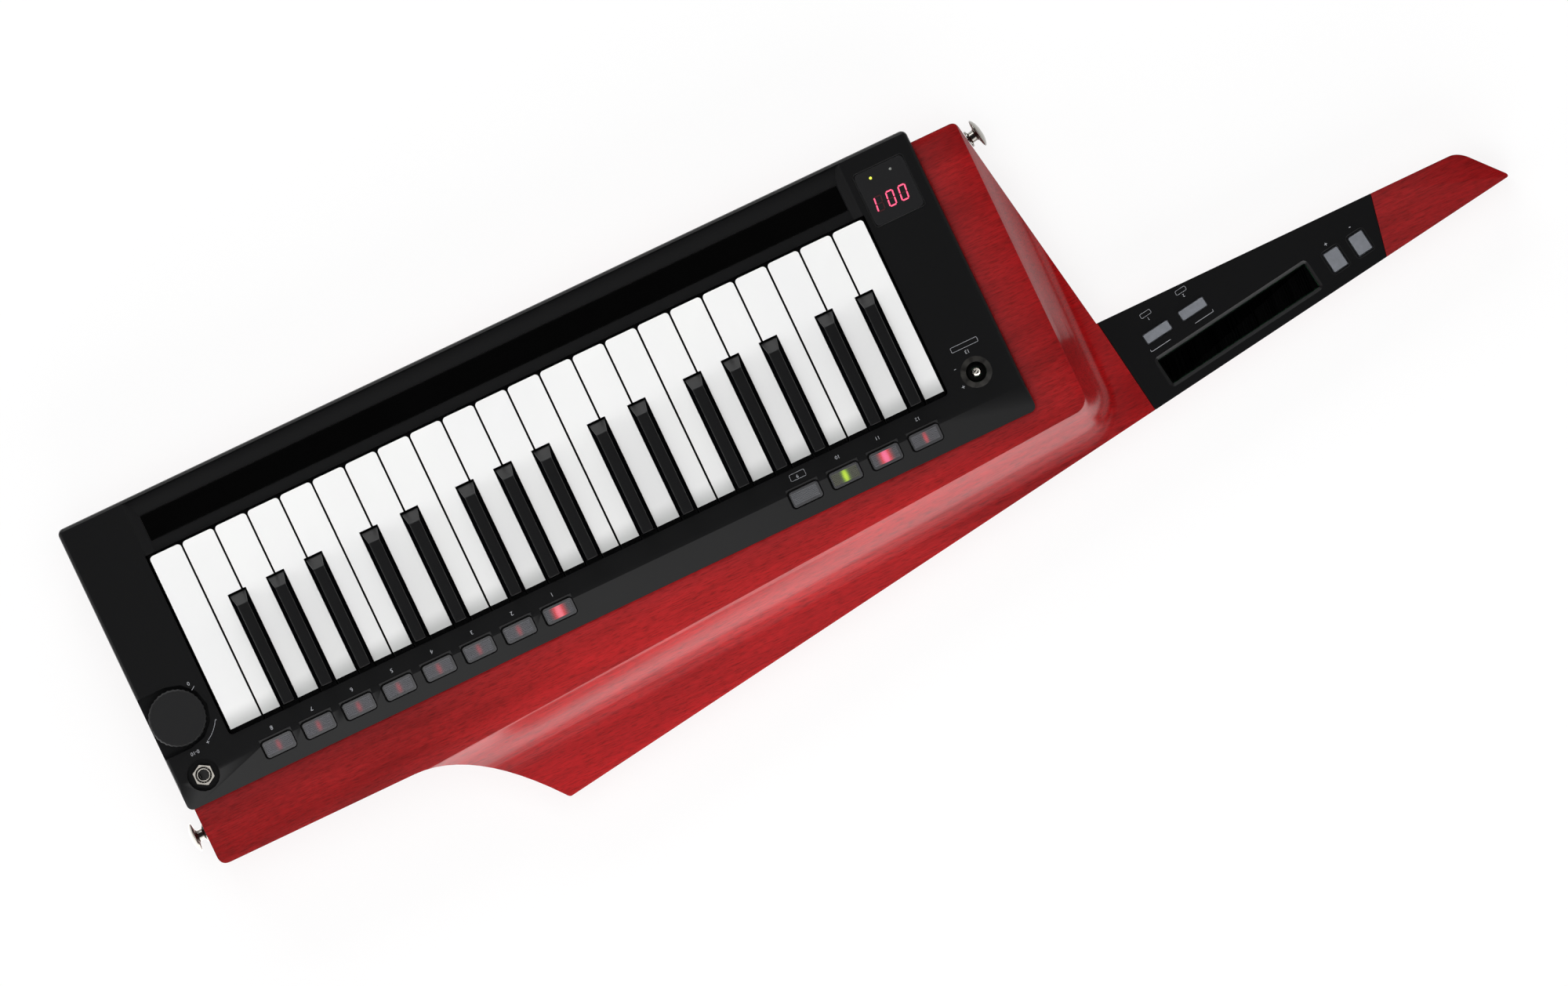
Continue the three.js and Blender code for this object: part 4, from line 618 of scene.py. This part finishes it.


# Row buttons: clear grey polycarbonate caps, ribbed across the top, each over its own lamp and
# ringed by a dead black rubber cord, which is painted shade in the gap round the cap. The eight
# programme buttons share one moulding under the panel. One of them glows red, and two of the four
# function buttons glow green and red.
def lens_material(name, centre, base, glow, reach):
    """Ribbed polycarbonate over a lamp: the glow is hot in the middle and falls off along the cap."""
    material, tree, shader, place = new_material(name, {
        "Base Color": linear(base), "Roughness": 0.35, "Coat Weight": 0.3, "Coat Roughness": 0.2,
        "Emission Strength": 1.0})
    mapped = add_node(tree, "ShaderNodeMapping", {
        "Location": [-c / (r * mm) for c, r in zip(centre, reach)],
        "Scale": [1 / (r * mm) for r in reach]}, {"Vector": place})
    length = add_node(tree, "ShaderNodeVectorMath", {"operation": "LENGTH"}, {0: mapped.outputs[0]})
    fall = add_node(tree, "ShaderNodeMapRange", {
        "interpolation_type": "SMOOTHERSTEP", "To Min": 1.0, "To Max": 0.0}, {
        "Value": length.outputs["Value"]})
    tone = add_node(tree, "ShaderNodeValToRGB", {
        "stops": [(0.0, "#000000"), (0.37, glow[0]), (0.75, glow[1]), (1.0, glow[2])]}, {
        "Fac": fall.outputs[0]})
    tree.links.new(tone.outputs["Color"], shader.inputs["Emission Color"])
    return material


# Translucent polycarbonate lets some light in, which greys it and blurs it in drifts of 8 mm
cap_plastic, tree, shader, place = new_material("grey translucent polycarbonate", {
    "Roughness": 0.35, "Coat Weight": 0.3, "Coat Roughness": 0.2})
mottled(tree, shader, place, 8.33 * mm, (0.3, "#2c2c2f"), (0.7, "#343437"))

# Each look is a lens's own grey, its glow from the rim to the middle, and how far the glow
# reaches along the cap, across it and up, in millimetres
dim = ("#636367", ("#280204", "#500408", "#7c0c14"), (3.4, 8, 8))
hot_red = ("#5e5e62", ("#780006", "#c00010", "#e86272"), (6.6, 20, 20))
hot_pink = ("#5e5e62", ("#780006", "#c60820", "#ec5c88"), (6.4, 20, 20))
lit_green = ("#5a5b50", ("#3c5600", "#7c9c08", "#b2d418"), (3.9, 11, 11))
faint_red = ("#606064", ("#3c0206", "#800a12", "#a8121c"), (2.7, 8, 8))
unlit = ("#636467", ("#000000", "#000000", "#000000"), (3, 6, 6))
cap_pitch = 25.3
first_programme_cap = 62.9
first_function_cap = 395.6
programme_lenses = [
    (f"programme_lens_{8 - n}", "favourite_buttons_body", first_programme_cap + cap_pitch * n,
     hot_red if n == 7 else dim) for n in range(8)]
function_buttons = (
    ("shift_button", unlit), ("ribbon_button", lit_green), ("arpeggio_button", hot_pink),
    ("tempo_button", faint_red))
function_lenses = [
    (node + "_lens", node + "_body", first_function_cap + cap_pitch * n, look)
    for n, (node, look) in enumerate(function_buttons)]
lenses = programme_lenses + function_lenses

favourites = softened("favourite_buttons", "programme_caps", "favourite_buttons_body", 0.3 * mm)
set_material(favourites, cap_plastic)
for node, look in function_buttons:
    cap = softened(node, node + "_cap", node + "_body", 0.3 * mm)
    set_material(cap, cap_plastic)

# One lens is a sheet whose alternate lines are raised as ribs, given a wall, and then copied
cap_lens_width = 15.8 * mm
cap_lens_depth = 6.9 * mm
lens_wall = 0.3 * mm
rib_count = 7
rib_depth = 0.22 * mm
rib_step = cap_lens_depth / (2 * rib_count)
bpy.ops.object.select_all(action="DESELECT")
bpy.ops.mesh.primitive_grid_add(
    x_subdivisions=1, y_subdivisions=2 * rib_count, size=1, location=(0, 0, 0))
first_lens = bpy.context.object
first_lens.scale = (cap_lens_width, cap_lens_depth, 1)
bpy.ops.object.transform_apply(location=False, rotation=False, scale=True)
bpy.ops.object.mode_set(mode="EDIT")
bpy.ops.mesh.select_all(action="DESELECT")
bpy.ops.object.mode_set(mode="OBJECT")
for vertex in first_lens.data.vertices:
    vertex.select = round((vertex.co.y + cap_lens_depth / 2) / rib_step) % 2 == 1
bpy.ops.object.mode_set(mode="EDIT")
bpy.ops.transform.translate(value=(0, 0, rib_depth))
bpy.ops.object.mode_set(mode="OBJECT")
wall = first_lens.modifiers.new("wall", "SOLIDIFY")
wall.thickness = lens_wall
wall.offset = -1
bpy.ops.object.modifier_apply(modifier=wall.name)

# The caps stand on the panel's rear strip, which falls 3.5 mm in 16.3 mm from a crease
strip_angle = math.atan(3.5 / 16.3)
down_strip = Vector((0, math.cos(strip_angle), -math.sin(strip_angle)))
off_strip = Vector((0, math.sin(strip_angle), math.cos(strip_angle)))
crease = front_edge + 160.8 * mm
lens_from_crease = 3.4 * mm
lens_rise = 0.52 * mm
lens_shift = 0.3 * mm
lens_middles = []
for lens, (name, body, from_tail, (base, glow, reach)) in zip(copies(first_lens, len(lenses)), lenses):
    middle = Vector((tail_edge - from_tail * mm + lens_shift, crease, panel_high_top))
    middle += down_strip * lens_from_crease + off_strip * lens_rise
    settled(lens, name, middle, (-strip_angle, 0, 0))
    set_material(lens, lens_material(name.replace("_", " ") + " glow", middle, base, glow, reach))
    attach(lens, body)
    lens_middles.append(middle)

# Black neoprene: dead black, with a fine powdery bloom that is drawn coarse, so that it shows.
# A cord of it round each cap fills the gap there with painted shade
rubber, tree, shader, place = new_material("black neoprene rubber", {
    "Base Color": linear("#040404"), "Roughness": 0.8, "Specular IOR Level": 0.15})
mould_grain(tree, shader, place, 1.11 * mm, 0.2)
shade_ring_width = 19.25 * mm
shade_ring_depth = 10.85 * mm
shade_ring_corner = 2.1 * mm
shade_ring_radius = 0.5 * mm
shade_ring_sunk = 0.72 * mm
# Painted shade: a dead black cord round each cap darkens the gap round it
shade_rings = copies(rim_line(shade_ring_width, shade_ring_depth, shade_ring_corner, shade_ring_radius), len(lens_middles))
for shade_ring, middle in zip(shade_rings, lens_middles):
    shade_ring.rotation_euler = (-strip_angle, 0, 0)
    shade_ring.location = middle - off_strip * shade_ring_sunk
button_seals = joined(shade_rings, "button_seals")
set_material(button_seals, rubber)
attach(button_seals, "body")


# Volume knob: a disc of moulded black ABS, fluted round its rim for the thumb and pressed on the
# shaft of its potentiometer. It lies in an open pocket at the tail.

# Matte ABS looks soft and a little grey; its grain is drawn coarse, so that it shows
knob_black, tree, shader, place = new_material("matte black ABS", {
    "Base Color": linear("#141415"), "Roughness": 0.5})
mould_grain(tree, shader, place, 0.455 * mm, 0.3)
knob = softened("volume_knob", "volume_disc", "volume_knob_body", 0.25 * mm, smooth=30)
set_material(knob, knob_black)


# Output socket: a threaded bush of nickel-plated brass, held in its round recess by a hexagon
# nut, with a black phenolic liner in the bore and one sprung contact.
def turned(profile, steps=64):
    """A turned piece at the origin: its profile of (radius, height) pairs, run round the Z axis."""
    bpy.ops.object.select_all(action="DESELECT")
    bpy.ops.mesh.primitive_plane_add(size=1 * mm, location=(0, 0, 0))
    piece = bpy.context.object
    bpy.ops.object.mode_set(mode="EDIT")
    bpy.ops.mesh.select_all(action="SELECT")
    bpy.ops.mesh.merge(type="CENTER")
    bpy.ops.transform.translate(value=(profile[0][0], 0, profile[0][1]))
    for (radius, height), (next_radius, next_height) in zip(profile, profile[1:]):
        bpy.ops.mesh.extrude_region_move(TRANSFORM_OT_translate={
            "value": (next_radius - radius, 0, next_height - height)})
    bpy.ops.object.mode_set(mode="OBJECT")
    spin = piece.modifiers.new("turned", "SCREW")
    spin.steps = steps
    spin.render_steps = steps
    spin.use_merge_vertices = True
    spin.merge_threshold = 0.001 * mm
    bpy.ops.object.modifier_apply(modifier=spin.name)
    bpy.ops.object.mode_set(mode="EDIT")
    bpy.ops.mesh.select_all(action="SELECT")
    bpy.ops.mesh.normals_make_consistent(inside=False)
    bpy.ops.object.mode_set(mode="OBJECT")
    bpy.ops.object.shade_smooth_by_angle(angle=math.radians(35))
    return piece


# Nickel plate over polished brass mirrors the room with a warm tone, a little dulled in patches
# of 4 mm by handling
nickel_colour = "#d6d1c8"
nickel, tree, shader, place = new_material("polished nickel plate", {
    "Base Color": linear(nickel_colour), "Metallic": 1.0})
patchy_gloss(tree, shader, place, 3.85 * mm, 0.12, 0.26, detail=3.0)

# The same nickel, with the phenolic liner's dull black inside the bore, below its mouth
bore_radius = 3.3 * mm
liner_depth = 0.5 * mm
jack_middle = box_middle("output_jack")
jack_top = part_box("output_jack")[1].z
socket_metal = nickel.copy()
socket_metal.name = "nickel socket with a black phenolic liner"
tree = socket_metal.node_tree
shader = tree.nodes["Principled BSDF"]
place = add_node(tree, "ShaderNodeTexCoord", {}, {}).outputs["Object"]
axes = add_node(tree, "ShaderNodeSeparateXYZ", {}, {"Vector": place})
across = add_node(tree, "ShaderNodeMath", {"operation": "SUBTRACT", 1: jack_middle.x}, {
    0: axes.outputs["X"]})
along = add_node(tree, "ShaderNodeMath", {"operation": "SUBTRACT", 1: jack_middle.y}, {
    0: axes.outputs["Y"]})
flat = add_node(tree, "ShaderNodeCombineXYZ", {}, {"X": across.outputs[0], "Y": along.outputs[0]})
from_axis = add_node(tree, "ShaderNodeVectorMath", {"operation": "LENGTH"}, {0: flat.outputs[0]})
in_bore = add_node(tree, "ShaderNodeMath", {"operation": "LESS_THAN", 1: bore_radius}, {
    0: from_axis.outputs["Value"]})
below = add_node(tree, "ShaderNodeMath", {"operation": "LESS_THAN", 1: jack_top - liner_depth}, {
    0: axes.outputs["Z"]})
lined = add_node(tree, "ShaderNodeMath", {"operation": "MULTIPLY"}, {
    0: in_bore.outputs[0], 1: below.outputs[0]})
tone = add_node(tree, "ShaderNodeMix", {
    "data_type": "RGBA", 6: linear(nickel_colour), 7: linear("#050505")}, {0: lined.outputs[0]})
metal = add_node(tree, "ShaderNodeMath", {"operation": "SUBTRACT", 0: 1.0}, {1: lined.outputs[0]})
tree.links.new(tone.outputs[2], shader.inputs["Base Color"])
tree.links.new(metal.outputs[0], shader.inputs["Metallic"])
jack = softened("output_jack", "output_socket", "body", 0.25 * mm, smooth=40)
set_material(jack, socket_metal)

# Blackened steel is a dark metal, duller where its oxide scale lies thicker, in spots of 2 mm
steel, tree, shader, place = new_material("blackened steel", {
    "Base Color": linear("#2a2826"), "Metallic": 1.0})
patchy_gloss(tree, shader, place, 2 * mm, 0.28, 0.42)

# Dark turns of thread on the bush, above its nut, in millimetres from its axis and its top
thread_pitch = 0.4
thread = [(4.45, -1.7)]
for n in range(4):
    thread += [(4.75, -1.5 + thread_pitch * n), (4.5, -1.3 + thread_pitch * n)]
thread += [(4.2, 0.02), (3.75, 0.02), (3.75, -0.1), (4.3, -1.7), (4.45, -1.7)]
socket_top = Vector((jack_middle.x, jack_middle.y, jack_top))
socket_thread = settled(turned([(r * mm, z * mm) for r, z in thread]), "socket_thread", socket_top)
set_material(socket_thread, steel)

# The contact is a nickel-plated leaf that leans into the bore
contact_middle = socket_top + Vector((2.0, 0, -3.4)) * mm
contact_size = Vector((0.35, 2.6, 4.0)) * mm
contact_lean = math.radians(8)
bpy.ops.mesh.primitive_cube_add(size=1, location=contact_middle)
contact = bpy.context.object
contact.name = "socket_contact"
contact.scale = contact_size
contact.rotation_euler = (0, contact_lean, 0)
bpy.ops.object.transform_apply(location=True, rotation=True, scale=True)
bpy.ops.object.mode_set(mode="EDIT")
bpy.ops.mesh.select_all(action="SELECT")
bpy.ops.mesh.bevel(offset=0.12 * mm, segments=2)
bpy.ops.object.mode_set(mode="OBJECT")
set_material(contact, nickel)
for piece in (socket_thread, contact):
    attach(piece, "body")


# Strap buttons: brass, nickel plated, one at the tail and one on the horn's shoulder, each
# turned in one piece with the long screw that holds it in the wood.

# Their plate is the socket's nickel, painted darker: painted shade, so that the white floor they
# mirror reads darker on them
shaded_nickel = nickel.copy()
shaded_nickel.name = "worn nickel plate"
# Painted shade: a darker copy of the socket's nickel
shaded_nickel.node_tree.nodes["Principled BSDF"].inputs["Base Color"].default_value = linear("#98958f")
pin_profile = [(r * mm, z * mm) for r, z in (
    (0, -16), (1.2, -16), (1.7, -14.8), (1.7, 0), (4.8, 0), (5.1, 0.3), (5.1, 0.8), (4.7, 1.2),
    (3.7, 1.35), (3.25, 1.8), (3.2, 3.4), (3.3, 4.6), (3.9, 5.1), (6.2, 5.4), (8.0, 5.8), (8.5, 6.1),
    (8.6, 6.5), (8.3, 7.0), (7.2, 7.7), (5.6, 8.35), (3.9, 8.8), (2.5, 8.98), (2.4, 8.9), (2.1, 8.5),
    (0, 8.5))]
screw_reach = 16 * mm
head_reach = 9 * mm
shoulder_angle = math.atan2(23.6, 138.9)
pin_axes = {
    "strap_pin_tail": Vector((1, 0, 0)),
    "strap_pin_horn": Vector((-math.cos(shoulder_angle), -math.sin(shoulder_angle), 0))}
strap_buttons = copies(turned(pin_profile), len(pin_axes))
for button, (node, axis) in zip(strap_buttons, pin_axes.items()):
    root = box_middle(node) - axis * (head_reach - screw_reach) / 2
    settled(button, node + "_turned", root, axis.to_track_quat("Z", "Y").to_euler())
    set_material(button, shaded_nickel)
    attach(button, "body")
    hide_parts(node)


# Sound lever: a small nickel-plated brass bat with a slot sawn across its tip, which tips both
# ways in a cup of the panel, through a moulded neoprene boot.
lever = softened("sound_lever", "sound_bat", "sound_lever_body", 0.2 * mm, smooth=40)
set_material(lever, nickel)
lever_middle = box_middle("sound_lever")
lever_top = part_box("sound_lever")[1].z
saw_cut = Vector((6, 0.75, 1.6)) * mm
saw_turn = math.radians(35)
bpy.ops.mesh.primitive_cube_add(size=1, location=(lever_middle.x, lever_middle.y, lever_top))
saw = bpy.context.object
saw.scale = saw_cut
saw.rotation_euler = (0, 0, saw_turn)
slot = lever.modifiers.new("slot", "BOOLEAN")
slot.operation = "DIFFERENCE"
slot.solver = "EXACT"
slot.object = saw
bpy.ops.object.select_all(action="DESELECT")
bpy.context.view_layer.objects.active = lever
lever.select_set(True)
bpy.ops.object.modifier_apply(modifier=slot.name)
bpy.data.objects.remove(saw)

boot_profile = [(r * mm, z * mm) for r, z in (
    (5.8, 0), (5.8, 0.5), (4.9, 0.8), (3.9, 1.7), (3.3, 1.9), (3.0, 1.7), (3.1, 1.2), (4.2, 0),
    (5.8, 0))]
cup_floor = panel_high.z - 5.6 * mm
boot = settled(turned(boot_profile), "lever_boot", (lever_middle.x, lever_middle.y, cup_floor))
set_material(boot, rubber)
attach(boot, "body")


# Neck cover: moulded black ABS like the panel, let into the neck, with a framed window for the
# long strip, four soft grey buttons and a fine raised rim round each octave button.
neck_shell = softened("neck_cover", "neck_housing", "body", 0.4 * mm, smooth=30)
set_material(neck_shell, moulded_black)

# Moulded silicone is matt and soft to look at, with a paler bloom in spots of 3 mm
silicone, tree, shader, place = new_material("moulded grey silicone", {"Roughness": 0.55})
mottled(tree, shader, place, 3.33 * mm, (0.3, "#72757b"), (0.7, "#7c7f86"))
for node in ("filter_button", "pitch_button", "octave_up_button", "octave_down_button"):
    cap = softened(node, node + "_cap", node + "_body", 0.35 * mm, segments=3)
    set_material(cap, silicone)

octave_rim_width = 12.0 * mm
octave_rim_depth = 14.9 * mm
octave_rim_sunk = 0.08 * mm
octave_buttons = ("octave_up_button", "octave_down_button")
octave_rims = copies(
    rim_line(octave_rim_width, octave_rim_depth, rim_corner, 0.28 * mm), len(octave_buttons))
for rim, node in zip(octave_rims, octave_buttons):
    middle = box_middle(node)
    settled(rim, node + "_rim", (middle.x, middle.y, neck_top - octave_rim_sunk), (0, 0, neck_turn))
    set_material(rim, moulded_black)
    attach(rim, "body")


# Printing: plain numbers, signs, boxes and brackets in fine pale ink, pad printed on the panel
# and on the neck cover.
ink_height = 0.02 * mm
line = 0.28 * mm


def on_panel(from_tail, from_front):
    """A place on the panel, from millimetres off its tail and its front edge."""
    return tail_edge - from_tail * mm, front_edge + from_front * mm


def on_neck(node, along, ahead):
    """A place from a neck button: millimetres along to the headstock and ahead to the player."""
    place = box_middle(node) - neck_along * along * mm - neck_across * ahead * mm
    return place.x, place.y


def printed(text, place, size, turn=0.0, level=panel_high_top):
    """One printed number or sign, centred on its place."""
    bpy.ops.object.select_all(action="DESELECT")
    bpy.ops.object.text_add(location=(0, 0, 0))
    mark = bpy.context.object
    mark.data.body = text
    mark.data.size = size * mm
    mark.data.extrude = ink_height
    mark.data.resolution_u = 3
    mark.data.align_x = "CENTER"
    mark.data.align_y = "CENTER"
    bpy.ops.object.convert(target="MESH")
    mark.rotation_euler = (0, 0, turn)
    mark.location = (*place, level)
    return mark


def ruled(points, level):
    """A printed line through points, its strokes overlapped at the corners."""
    strokes = []
    for start, end in zip(points, points[1:]):
        start, end = Vector(start), Vector(end)
        over = (end - start).normalized() * line / 2
        strokes.append(plate(start - over, end + over, line, level - ink_height, level + ink_height))
    return strokes


def outlined(place, width, depth, turn=0.0, level=panel_high_top):
    """A printed box with rounded corners."""
    box = rim_line(width * mm, depth * mm, 0.6 * mm, 0.4 * line)
    box.scale = (1, 1, 0.3)
    box.rotation_euler = (0, 0, turn)
    box.location = (*place, level)
    return box


# Pad-printing ink is a thin matt film, a little uneven in tone, in spots of 1 mm
ink, tree, shader, place = new_material("pale grey pad-printing ink", {"Roughness": 0.6})
mottled(tree, shader, place, 1.11 * mm, (0.3, "#9fa1a6"), (0.7, "#b4b6bb"))

# On the panel: the row's numbers, the knob's numbers, signs and arc, the lever's and the socket's
programme_numbers = [
    (str(8 - n), first_programme_cap + cap_pitch * n, 153.6, 3.4) for n in range(8)]
function_numbers = [
    (str(9 + n), first_function_cap + cap_pitch * n, 152.6, 3.0) for n in range(4)]
other_marks = [
    ("0", 30.8, 110.6, 3.2), ("-", 36.0, 136.4, 4), ("+", 26.6, 145.4, 4), ("-", 503.0, 136.8, 4),
    ("+", 503.0, 147.3, 4), ("13", 513.6, 129.9, 3.0), ("0-10", 17.3, 147.9, 3.0)]
marks = [
    printed(text, on_panel(from_tail, from_front), size)
    for text, from_tail, from_front, size in programme_numbers + function_numbers + other_marks]
knob_from_tail = 16.7
knob_from_front = 125.8
arc_radius = 21.6
arc = []
for degrees in range(28, 61, 4):
    angle = math.radians(degrees)
    arc.append(on_panel(
        knob_from_tail + arc_radius * math.cos(angle), knob_from_front + arc_radius * math.sin(angle)))
marks += ruled(arc, panel_high_top)
marks += ruled([on_panel(33.2, 113.4), on_panel(31.0, 114.9)], panel_high_top)
marks.append(outlined(on_panel(395.9, 152.4), 9.3, 3.9))
marks.append(outlined(on_panel(513.7, 125.9), 16.5, 2.9))
printing = joined(marks, "panel_printing")

# On the neck, square to its long buttons: numbers in boxes, a split bracket and signs
neck_marks = []
for node, label in (("filter_button", "1"), ("pitch_button", "2")):
    neck_marks.append(printed(label, on_neck(node, 0, 9.4), 2.6, neck_turn, neck_top))
    neck_marks.append(outlined(on_neck(node, 0, 12.5), 6.6, 2.5, neck_turn, neck_top))
for node, sign in zip(octave_buttons, "+-"):
    neck_marks.append(printed(sign, on_neck(node, 0, 10.6), 4, neck_turn, neck_top))
for node, corners in (
        ("filter_button", ((-9.0, -6.4), (-9.0, -7.6), (3.9, -7.6))),
        ("pitch_button", ((-3.2, -7.7), (9.2, -7.7), (9.2, -6.5)))):
    neck_marks += ruled([on_neck(node, *corner) for corner in corners], neck_top)
neck_printing = joined(neck_marks, "neck_printing")
for piece in (printing, neck_printing):
    set_material(piece, ink)
    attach(piece, "body")


# Screws: six pan heads of blackened steel, each with a small recess for its driver, which hold
# the back cover to the wood, three along each long side.
screw_profile = [(r * mm, z * mm) for r, z in (
    (0, 0.9), (0.5, 0.9), (0.9, 1.5), (1.9, 1.35), (2.7, 0.8), (3.0, 0), (0, 0))]
screw_sunk = 0.05 * mm
screw_inset = 4.2 * mm
cover_low, cover_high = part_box("back_cover")
screw_places = [
    (x, y, cover_low.z + screw_sunk)
    for x in (cover_low.x + screw_inset, (cover_low.x + cover_high.x) / 2, cover_high.x - screw_inset)
    for y in (cover_low.y + screw_inset, cover_high.y - screw_inset)]
screws = copies(turned(screw_profile, steps=24), len(screw_places))
for screw, screw_place in zip(screws, screw_places):
    screw.location = screw_place
    screw.rotation_euler = Vector((0, 0, -1)).to_track_quat("Z", "Y").to_euler()
screw_heads = joined(screws, "back_screws")
set_material(screw_heads, steel)
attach(screw_heads, "body")


# Flags: the rear two soft boxes light only the wood, the neck cover, the floor, the lever, the
# socket and the strap buttons, the high one all the other pieces, and the one for the wing the wood
# alone. A small soft lamp high above is flagged to shine on the polished metal alone.
bpy.ops.object.light_add(type="AREA", location=(0.1, 0.1, 2.4))
metal_lamp = bpy.context.object
metal_lamp.name = "metal_lamp"
metal_lamp.data.size = 1.3
metal_lamp.data.energy = 4
metal_lit = [jack, lever, contact]
all_pieces = [piece for piece in bpy.context.scene.objects if piece.type == "MESH"]
rear_lit = [wood, neck_shell, floor, lever, jack, *strap_buttons]
high_lit = [piece for piece in all_pieces if piece not in rear_lit]
for lamp_name, lit_pieces in (
        ("soft_box_rear", rear_lit), ("soft_box_rear_upper", rear_lit), ("soft_box_high", high_lit),
        ("soft_box_wing", [wood]), ("metal_lamp", metal_lit)):
    lit = bpy.data.collections.new(lamp_name + " lights")
    for piece in lit_pieces:
        lit.objects.link(piece)
    bpy.data.objects[lamp_name].light_linking.receiver_collection = lit
